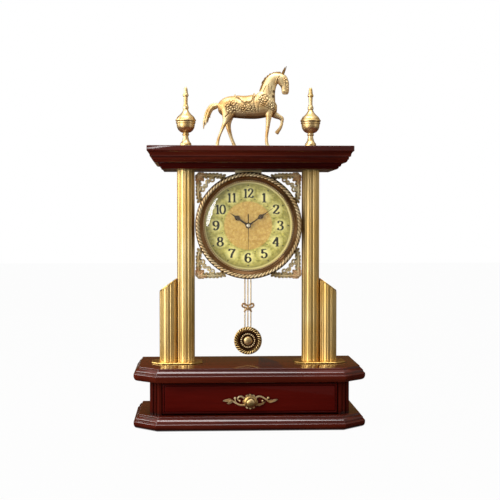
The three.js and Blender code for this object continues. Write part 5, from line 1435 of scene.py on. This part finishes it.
boss_line = profile((0, back), (boss_radius, back), (boss_radius, back - 0.8),
                    (boss_radius - 0.4, front, 0, front), steps=10)
settle("bob_boss_dome", [turned(boss_line, 40, "Y", bob_axis)], turned_brass, "bob_boss", sharp=50)

# %% [markdown]
# ## Horse
#
# The horse is cast in one piece, hollow, from a carved model. Its body, neck and legs are lofts through oval
# sections, given as x, z, the oval's reach in the side view, its half width and its place across. A voxel
# remesh melts the lofts into one skin, and a smoothing pass takes the joins away, as a modeller's thumb does.
# It is a walking horse with its far foreleg lifted, head to the right.

# %% Horse lofts
horse_foot = corners("horse")[0].z
HORSE_VOXEL = 0.65
TRUNK = [
    (-43.2, 58.5, 0, 5, 5, 0), (-39.5, 58.6, 0, 10, 9.5, 0), (-32, 58.8, 0, 14.4, 13, 0),
    (-20, 59.4, 0, 15.8, 14.4, 0), (-4, 58.4, 0, 16, 14.6, 0), (12, 59.8, 0, 17.4, 14, 0),
    (25, 60.8, 0, 16.2, 12.6, 0), (35, 59.4, 0, 11.4, 10, 0), (40.8, 57.8, 0, 5, 5.5, 0)]
NECK = [
    (24, 66, -14.5, 10.5, 10.4, 0), (27.6, 76.2, -10.8, 6, 8, 0), (29.6, 85.8, -8.8, 5.4, 6.6, 0),
    (33.4, 95.4, -6.8, 6.4, 5.8, 0), (40.2, 100.8, -3, 7, 5.6, 0), (47.6, 98.6, 4.4, 7, 5.8, 0),
    (52, 92, 5.6, 4.6, 4.9, 0), (52.8, 85.4, 5.4, 2.4, 4.1, 0), (52.8, 80.6, 5.2, 0.4, 3.8, 0),
    (52.8, 77.4, 3.6, 0, 2.6, 0)]
HIND_NEAR = [
    (-29, 58, 10, 0, 4.8, -8), (-28.8, 48, 9, 0.6, 4.8, -8.6), (-31, 39.6, 5.8, 0.6, 3.8, -8.6),
    (-35.4, 31.4, 3.3, 0.8, 2.9, -8.6), (-41.2, 18, 2.2, 0.4, 2.2, -8.6), (-44, 7.6, 2.4, 0.2, 2.5, -8.6),
    (-44.2, 3.8, 2.9, 0, 2.9, -8.6), (-44.4, 0, 3.8, 0, 3.5, -8.6)]
HIND_FAR = [
    (-27.6, 58, 9, 0, 4.6, 8), (-27.8, 48, 8.4, 0, 4.7, 8.6), (-28.4, 38, 4.8, 0, 3.5, 8.6),
    (-28, 30, 3.6, 0, 2.9, 8.6), (-24.4, 17, 2.7, 0, 2.3, 8.6), (-20.4, 7, 2.7, 0, 2.6, 8.6),
    (-19, 3.4, 3, 0, 3, 8.6), (-17.8, 0, 4, 0, 3.6, 8.6)]
FORE_NEAR = [
    (29.5, 58, 6.5, 0, 4, -6.6), (29, 48, 4.8, 0, 3.8, -7), (28, 38, 3.5, 0, 3.1, -7),
    (27, 28, 2.7, 0, 2.6, -7), (25.6, 16, 2.2, 0, 2.1, -7), (26, 7.4, 2.5, 0, 2.5, -7),
    (27.6, 3.4, 3, 0, 2.9, -7), (28.6, 0, 3.9, 0, 3.5, -7)]
FORE_FAR = [
    (33, 54, 3, 6, 4, 6.6), (39, 48.6, 2.2, 4.4, 3.6, 7), (44.8, 45.8, 1.2, 3.4, 3, 7),
    (48.6, 42.8, 2.6, 2, 2.8, 7), (48.4, 37.2, 2.1, -0.4, 2.2, 7), (46.6, 31, 2.1, -0.8, 2.2, 7),
    (43.8, 26.8, 2, -1.8, 2.5, 7), (40.4, 22.2, 2.4, -2, 2.9, 7)]


def limb(rows, sides=20):
    rings = []
    for x, z, reach_x, reach_z, half, y in smooth(rows, 5):
        turns = [(math.cos(TAU * i / sides), math.sin(TAU * i / sides)) for i in range(sides)]
        rings.append([(x + reach_x * c, y + half * s, horse_foot + z + reach_z * c) for c, s in turns])
    return skin(rings)


def melted(mesh):
    """One smooth skin round everything in the mesh."""
    holder = bpy.data.objects.new("melt", mesh)
    bpy.context.scene.collection.objects.link(holder)
    remesh = holder.modifiers.new("melt", "REMESH")
    remesh.voxel_size = HORSE_VOXEL * MM
    rub = holder.modifiers.new("rub", "SMOOTH")
    rub.factor, rub.iterations = 0.5, 8
    skin_mesh = bpy.data.meshes.new_from_object(holder.evaluated_get(bpy.context.evaluated_depsgraph_get()))
    bpy.data.objects.remove(holder)
    return skin_mesh


LIMBS = (TRUNK, NECK, HIND_NEAR, HIND_FAR, FORE_NEAR, FORE_FAR)
body = melted(to_mesh("horse", *[limb(rows) for rows in LIMBS]))
print("horse skin:", len(body.vertices), "points")

# %% [markdown]
# The skin is then carved. Flowers of five petals cover the croup, the flank, the shoulder and the chest. A
# saddle stands proud of the back, and single lines are engraved for straps and hair. Every point is pushed
# along its normal, and an attribute keeps how deep it lies, so that the finish can leave dark wax there. The
# same attribute darkens a line round the saddle and a few listed spots, and paints shade under the belly.

# %% Carving
FLOWERS = ((-30.6, 63, 5.2), (-22, 65, 5.4), (-26.4, 54.4, 5.2), (-17.2, 57.2, 5), (-20.6, 48.6, 4),
           (-9, 58.6, 4.6), (-1, 57.4, 4.8), (6, 55.4, 3.8), (-6, 51, 3.6), (15.6, 73, 4.2), (23, 70.8, 5.2),
           (20.4, 64.6, 3.8), (29.8, 66.6, 4.2), (35, 59.4, 4.6), (29, 58.8, 3.2))
CARVED = ((-24, 57.4, 13, 12.6), (-2, 55.6, 15, 8), (21.4, 69.6, 10.6, 9.6), (33, 61.4, 8, 8.6))
SADDLE = [Vector(p) for p in ((-20.4, 79), (-11.6, 69.4), (-9.4, 66), (-6, 63.8), (-2, 65.4), (0.8, 64),
                              (4.6, 67.6), (6, 74), (8.6, 82))]
ENGRAVED = ((-22.4, 76, -12, 69.2, 1.0), (10.6, 78.4, 7.4, 70, 1.0), (7.4, 70, 7.4, 62, 0.7),
            (7.4, 62, 10.4, 51, 0.7), (15.6, 68, 14.4, 59, 0.6), (14.4, 59, 13.6, 51, 0.6),
            (16.4, 64.6, 37.4, 55, 0.6), (17.4, 61.8, 36.4, 52.8, 0.6), (29, 90.4, 29.8, 76, 0.7),
            (25.2, 89.4, 20.4, 80, 0.6), (33, 88, 31.6, 77, 0.6), (41, 96.4, 44.4, 103, 0.6),
            (-33, 44, -27.4, 49.6, 0.8))
# The last spot, under the root of the tail, is painted shade.
DARK_SPOTS = ((50.4, 80.8, 1.5), (52.6, 99.8, 1.8), (53.4, 93.6, 1.6), (53.6, 88, 1.5), (46.4, 88.8, 2.2),
              (36.4, 81, 3.4), (35.4, 74, 3.2), (-41, 52, 3))
FLOWER_EYE, EYE_EDGE, PETAL_EDGE, FLOWER_EDGE = 0.26, 0.4, 0.92, 1.12
CARVE_DEPTH = 1.4
SADDLE_RISE, SADDLE_LOW, SADDLE_REACH, FAR_OFF = 0.9, 60, 30, 9
BELLY_SHADE_LOW, BELLY_SHADE_HIGH = 40, 60


def held(value, low=0, high=1):
    return min(max(value, low), high)


def carving(x, z):
    """How high the relief stands at a place seen from the side, between 0 and 1."""
    for flower_x, flower_z, radius in FLOWERS:
        far = math.hypot(x - flower_x, z - flower_z) / radius
        if far < FLOWER_EYE:
            return 1.0
        if EYE_EDGE <= far < PETAL_EDGE:
            return 0.15 + 0.85 * abs(math.cos(2.5 * math.atan2(z - flower_z, x - flower_x))) ** 0.6
        if far < FLOWER_EDGE:
            return 0.1
    return 0.7


def off_line(here, a, b):
    share = held((here - a).dot(b - a) / (b - a).length_squared)
    return (here - a.lerp(b, share)).length


def past_edge(x, z, outline):
    """Distance from a closed outline, below zero inside it."""
    here = Vector((x, z))
    nearest = 1e9
    inside = False
    for a, b in zip(outline, outline[1:] + outline[:1]):
        nearest = min(nearest, off_line(here, a, b))
        if (a.y > z) != (b.y > z) and x < a.x + (z - a.y) / (b.y - a.y) * (b.x - a.x):
            inside = not inside
    return -nearest if inside else nearest


cuts = [(Vector(row[:2]), Vector(row[2:4]), row[4]) for row in ENGRAVED]
rises, wax_and_shade_depths = [], []
normals = [point.normal.copy() for point in body.vertices]
for point, normal in zip(body.vertices, normals):
    x, z = point.co.x / MM, point.co.z / MM - horse_foot
    facing = held((abs(normal.y) - 0.25) * 3)
    carved = max(held(2.5 * (1 - math.hypot((x - cx) / rx, (z - cz) / rz))) for cx, cz, rx, rz in CARVED)
    edge = past_edge(x, z, SADDLE) if z > SADDLE_LOW and abs(x) < SADDLE_REACH else FAR_OFF
    saddle = held(0.5 - edge / 1.2)
    height = carving(x, z)
    share = carved * facing * (1 - saddle)
    cut = max(math.exp(-(off_line(Vector((x, z)), a, b) / wide) ** 2) for a, b, wide in cuts) * facing
    rises.append(saddle * SADDLE_RISE + share * CARVE_DEPTH * (height - 0.6) - 0.5 * cut)
    spot = max(held(1.6 - 1.6 * math.hypot(x - dx, z - dz) / r, 0, 0.9) for dx, dz, r in DARK_SPOTS)
    rim_line = 0.9 * math.exp(-((edge - 0.5) / 0.7) ** 2)
    # Painted shade: skin facing down on the belly is darkened.
    belly_painted_shade = held(-1.6 * normal.z - 0.5, 0, 0.8) if BELLY_SHADE_LOW < z < BELLY_SHADE_HIGH else 0
    wax_and_shade_depths.append(max(share * (1 - height), facing * rim_line, facing * spot, 0.9 * cut, belly_painted_shade))
for point, normal, rise in zip(body.vertices, normals, rises):
    point.co += normal * rise * MM
# The hollow attribute carries the wax depth and the painted shade together.
body.attributes.new("hollow", "FLOAT", "POINT").data.foreach_set("value", wax_and_shade_depths)
horse_gold = rubbed_casting("rubbed gilt casting", "#4e2e0e", "#d3a767", "#efd7a2", 0.45, 2, 0.65)
settle("horse_body", body, horse_gold, "horse", sharp=180)

# %% [markdown]
# Straps, studs, mane and tail are laid on the skin. A ray from the side finds the skin under each point of
# a strap, and the strap's section stands on the skin's own normal. Both sides of the horse get them.

# %% Harness
body_tree = BVHTree.FromPolygons([p.co / MM for p in body.vertices],
                                 [tuple(f.vertices) for f in body.polygons])
STRAPS = {
    "girth": [(11.4, 76, 0.6), (10.4, 69, 0.8), (10.6, 60, 0.8), (12, 51, 0.7)],
    "breast": [(16.4, 63.2, 0.7), (26, 58.8, 0.8), (36.8, 53.9, 0.7)],
    "neck": [(38.6, 93.6, 0.5), (39.6, 98, 0.6), (43.4, 104, 0.5)],
    "cheek": [(49.4, 103.4, 0.5), (50.8, 96, 0.6), (51.6, 86, 0.5)],
    "nose": [(49.4, 86.4, 0.5), (53.4, 87.2, 0.6), (57, 88, 0.5)],
}
STUDS = ((53.6, 99.4, 1.5), (55.4, 94.8, 1.6), (55, 89.8, 1.5), (55.6, 84.6, 1.4), (51.4, 97.4, 1.1),
         (43, 99.6, 1.3), (26, 62.6, 1.2), (33, 57.4, 1.2), (-4, 66.4, 1.2), (0.4, 66.6, 1.1),
         (-8.4, 67.2, 1.1))


def on_skin(x, z, side):
    spot, normal, _, _ = body_tree.ray_cast(Vector((x, side * 60, horse_foot + z)), Vector((0, -side, 0)))
    return (spot, normal) if spot else body_tree.find_nearest(Vector((x, side, horse_foot + z)))[:2]


def strap(rows, side, rise):
    hits = [(*on_skin(x, z, side), half) for x, z, half in smooth(rows, 6)]
    rings = []
    for k, (spot, normal, half) in enumerate(hits):
        across = (hits[min(k + 1, len(hits) - 1)][0] - hits[max(k - 1, 0)][0]).cross(normal).normalized()
        rings.append([spot + across * half * s + normal * (rise * h - 0.4) for s, h in STEM])
    return skin(rings)


def stud(x, z, radius, side):
    spot, normal = on_skin(x, z, side)
    dome = turned(profile((0, -0.5), (radius, -0.5), (radius, radius * 0.7, 0, radius * 0.7), steps=4), 12)
    return moved(dome, Matrix.Translation(spot) @ normal.to_track_quat("Z", "Y").to_matrix().to_4x4())


harness = [strap(rows, side, 1.0) for side in (-1, 1) for rows in STRAPS.values()]
harness += [stud(x, z, radius, side) for side in (-1, 1) for x, z, radius in STUDS]
ARCHES = ((-19, 76.4, 11.4, 0.9), (8.2, 78.4, 10.4, 1.0))
for x, top, half, thick in ARCHES:
    angles = [math.radians(a) for a in range(-60, 61, 10)]
    rows = [(x, half * math.sin(a), horse_foot + top - half + half * math.cos(a), thick, thick)
            for a in angles]
    harness.append(swept(rows, 10, up=(1, 0, 0)))
settle("horse_harness", harness, horse_gold, follows="horse", sharp=60)

# %% Mane, tail and ears
CREST = [(17.4, 81.5), (19.6, 88), (24.4, 97), (30.6, 103.2), (38, 107), (46.4, 107.8)]
TUFTS = ((20.4, 90, 22.2, 98.4), (24, 96.4, 25, 102.6), (28, 101, 28.4, 105), (32, 104.2, 31.8, 107.8),
         (37, 106.6, 36.4, 109.2), (42, 107.8, 41, 109.6), (46, 107.6, 45.4, 109.4))
EAR = [(48.4, 103.6, 1.6, 0, 1.3, -2.2), (51.4, 110.4, 1.1, -0.4, 0.9, -2.8),
       (54.4, 117.2, 0.25, -0.1, 0.25, -3.2)]
TAIL_LOCKS = (
    (0, [(-40, 62, 2.2), (-51, 62, 2.4), (-57.5, 55, 2.2), (-61, 46, 2), (-62.8, 38, 1.8), (-63.6, 30, 0.8),
         (-63.4, 27.8, 0.3)]),
    (-1.5, [(-40, 60.6, 2.2), (-50, 60, 2.4), (-55.6, 53, 2.2), (-58.6, 45, 1.9), (-60.4, 38, 1.5),
            (-60.8, 33, 0.4)]),
    (-0.5, [(-40, 59.6, 2), (-49, 58.6, 2.2), (-53.4, 52.6, 2), (-55.4, 47, 1.6), (-54.2, 43.6, 0.4)]),
    (1.5, [(-40, 61, 2), (-52.6, 55, 2), (-56.4, 47.6, 1.7), (-57.6, 41, 1.3), (-57.8, 36.4, 0.3)]),
)
waxed_gold = rubbed_casting("waxed gilt casting", "#1e1206", "#5a3e1a", "#8a6630", 0.42, 2, 0.65)


def lock(rows, y, sides=10):
    return swept([(x, y, horse_foot + z, half, half) for x, z, half in smooth(rows, 5)], sides)


hair = [limb(EAR, 10), limb([(x - 1.5, z, a, b, half, -y) for x, z, a, b, half, y in EAR], 10)]
hair.append(lock([(x - 0.3, z + 0.3, 1.7) for x, z in CREST], 0))
for k, (x, z, tip_x, tip_z) in enumerate(TUFTS):
    bend = ((x + tip_x) / 2 - 1.4, (z + tip_z) / 2 - 0.4)
    rows = [(x + 0.6, z - 0.4, 1.4), (*bend, 1.1), (tip_x, tip_z, 0.2)]
    hair.append(lock(rows, 0.8 * math.sin(2.4 * k), 8))
settle("horse_mane_and_ears", hair, waxed_gold, follows="horse", sharp=60)
settle("horse_tail_locks", [lock(rows, y) for y, rows in TAIL_LOCKS], horse_gold, follows="horse", sharp=60)

# %% [markdown]
# ## Back of the head
#
# Behind the dial is a spun pan, a steel strap up to the cornice and a plain plastic movement with one cell.
# They only show from behind. The flat ones are the solids with softened edges.

# %% Plastics and cell


def moulded_plastic(name, code, shine):
    """Moulded styrene with a fine spark-eroded grain, drawn about 0.4 mm wide so that it shows."""
    material, tree = new_finish(name, {
        "Base Color": colour(code), "Roughness": shine, "Specular IOR Level": 0.4})
    place = add(tree, "ShaderNodeTexCoord", output="Object")
    grain = add(tree, "ShaderNodeTexNoise", {"Vector": place, "Scale": 1 / (0.4 * MM), "Detail": 2})
    bump = add(tree, "ShaderNodeBump", {"Height": grain, "Strength": 0.2, "Distance": 0.05 * MM})
    dull = add(tree, "ShaderNodeMapRange", {0: grain, 3: shine - 0.08, 4: shine + 0.1})
    feed(tree, {"Normal": bump, "Roughness": dull})
    return material


black_plastic = moulded_plastic("black styrene", "#1c1c1e", 0.5)
white_plastic = moulded_plastic("white acetal", "#e4e2da", 0.42)
cell_jacket = moulded_plastic("printed cell jacket", "#5a6068", 0.35)
print("plastics: 3")

# %% Movement
flange = half_width("head_pan")
cup = flange - 6.5
front, back = front_and_back("head_pan")
pan_line = profile(
    (DIAL_HOLE, back - 1), (cup - 1, back - 1), (cup - 1, front), (flange, front), (flange, front + 1),
    (cup + 0.8, front + 1), (cup, front + 1, cup, front + 1.8), (cup, back - 1.6),
    (cup, back, cup - 1.6, back), (DIAL_HOLE, back))
settle("pan_spun", [round_dial(pan_line, 128, loop=True)], antique_gold, "head_pan", sharp=40)
for node, width, material in (("head_bracket", 0.3, zinc_steel), ("movement_case", 0.5, black_plastic),
                              ("movement_cover", 0.5, black_plastic)):
    settle(f"{node}_softened", softened(node, width), material, node)
cell = middle("battery")
low, high = corners("battery")
cell_radius = (high.z - low.z) / 2
foot, top = low.x, high.x
cell_line = profile((0, foot), (cell_radius - 0.6, foot), (cell_radius, foot + 0.6), (cell_radius, top - 2.1),
                    (cell_radius - 0.6, top - 1.5), (2.7, top - 1.5), (2.7, top), (0, top))
lying = Matrix.Translation((0, cell.y, cell.z)) @ Matrix.Rotation(math.pi / 2, 4, "Y")
settle("cell", [moved(turned(cell_line, 32), lying)], cell_jacket, "battery")
BARE = {plate_brass: ("mounting_nut", "cannon_pinion"),
        white_plastic: ("motor_block", "hour_wheel", "motion_wheel")}
for material, nodes in BARE.items():
    for node in nodes:
        coat(frame["nodes"][node].data, material)
settle("setting_knob_softened", softened("setting_knob", 0.3), black_plastic, "setting_knob")
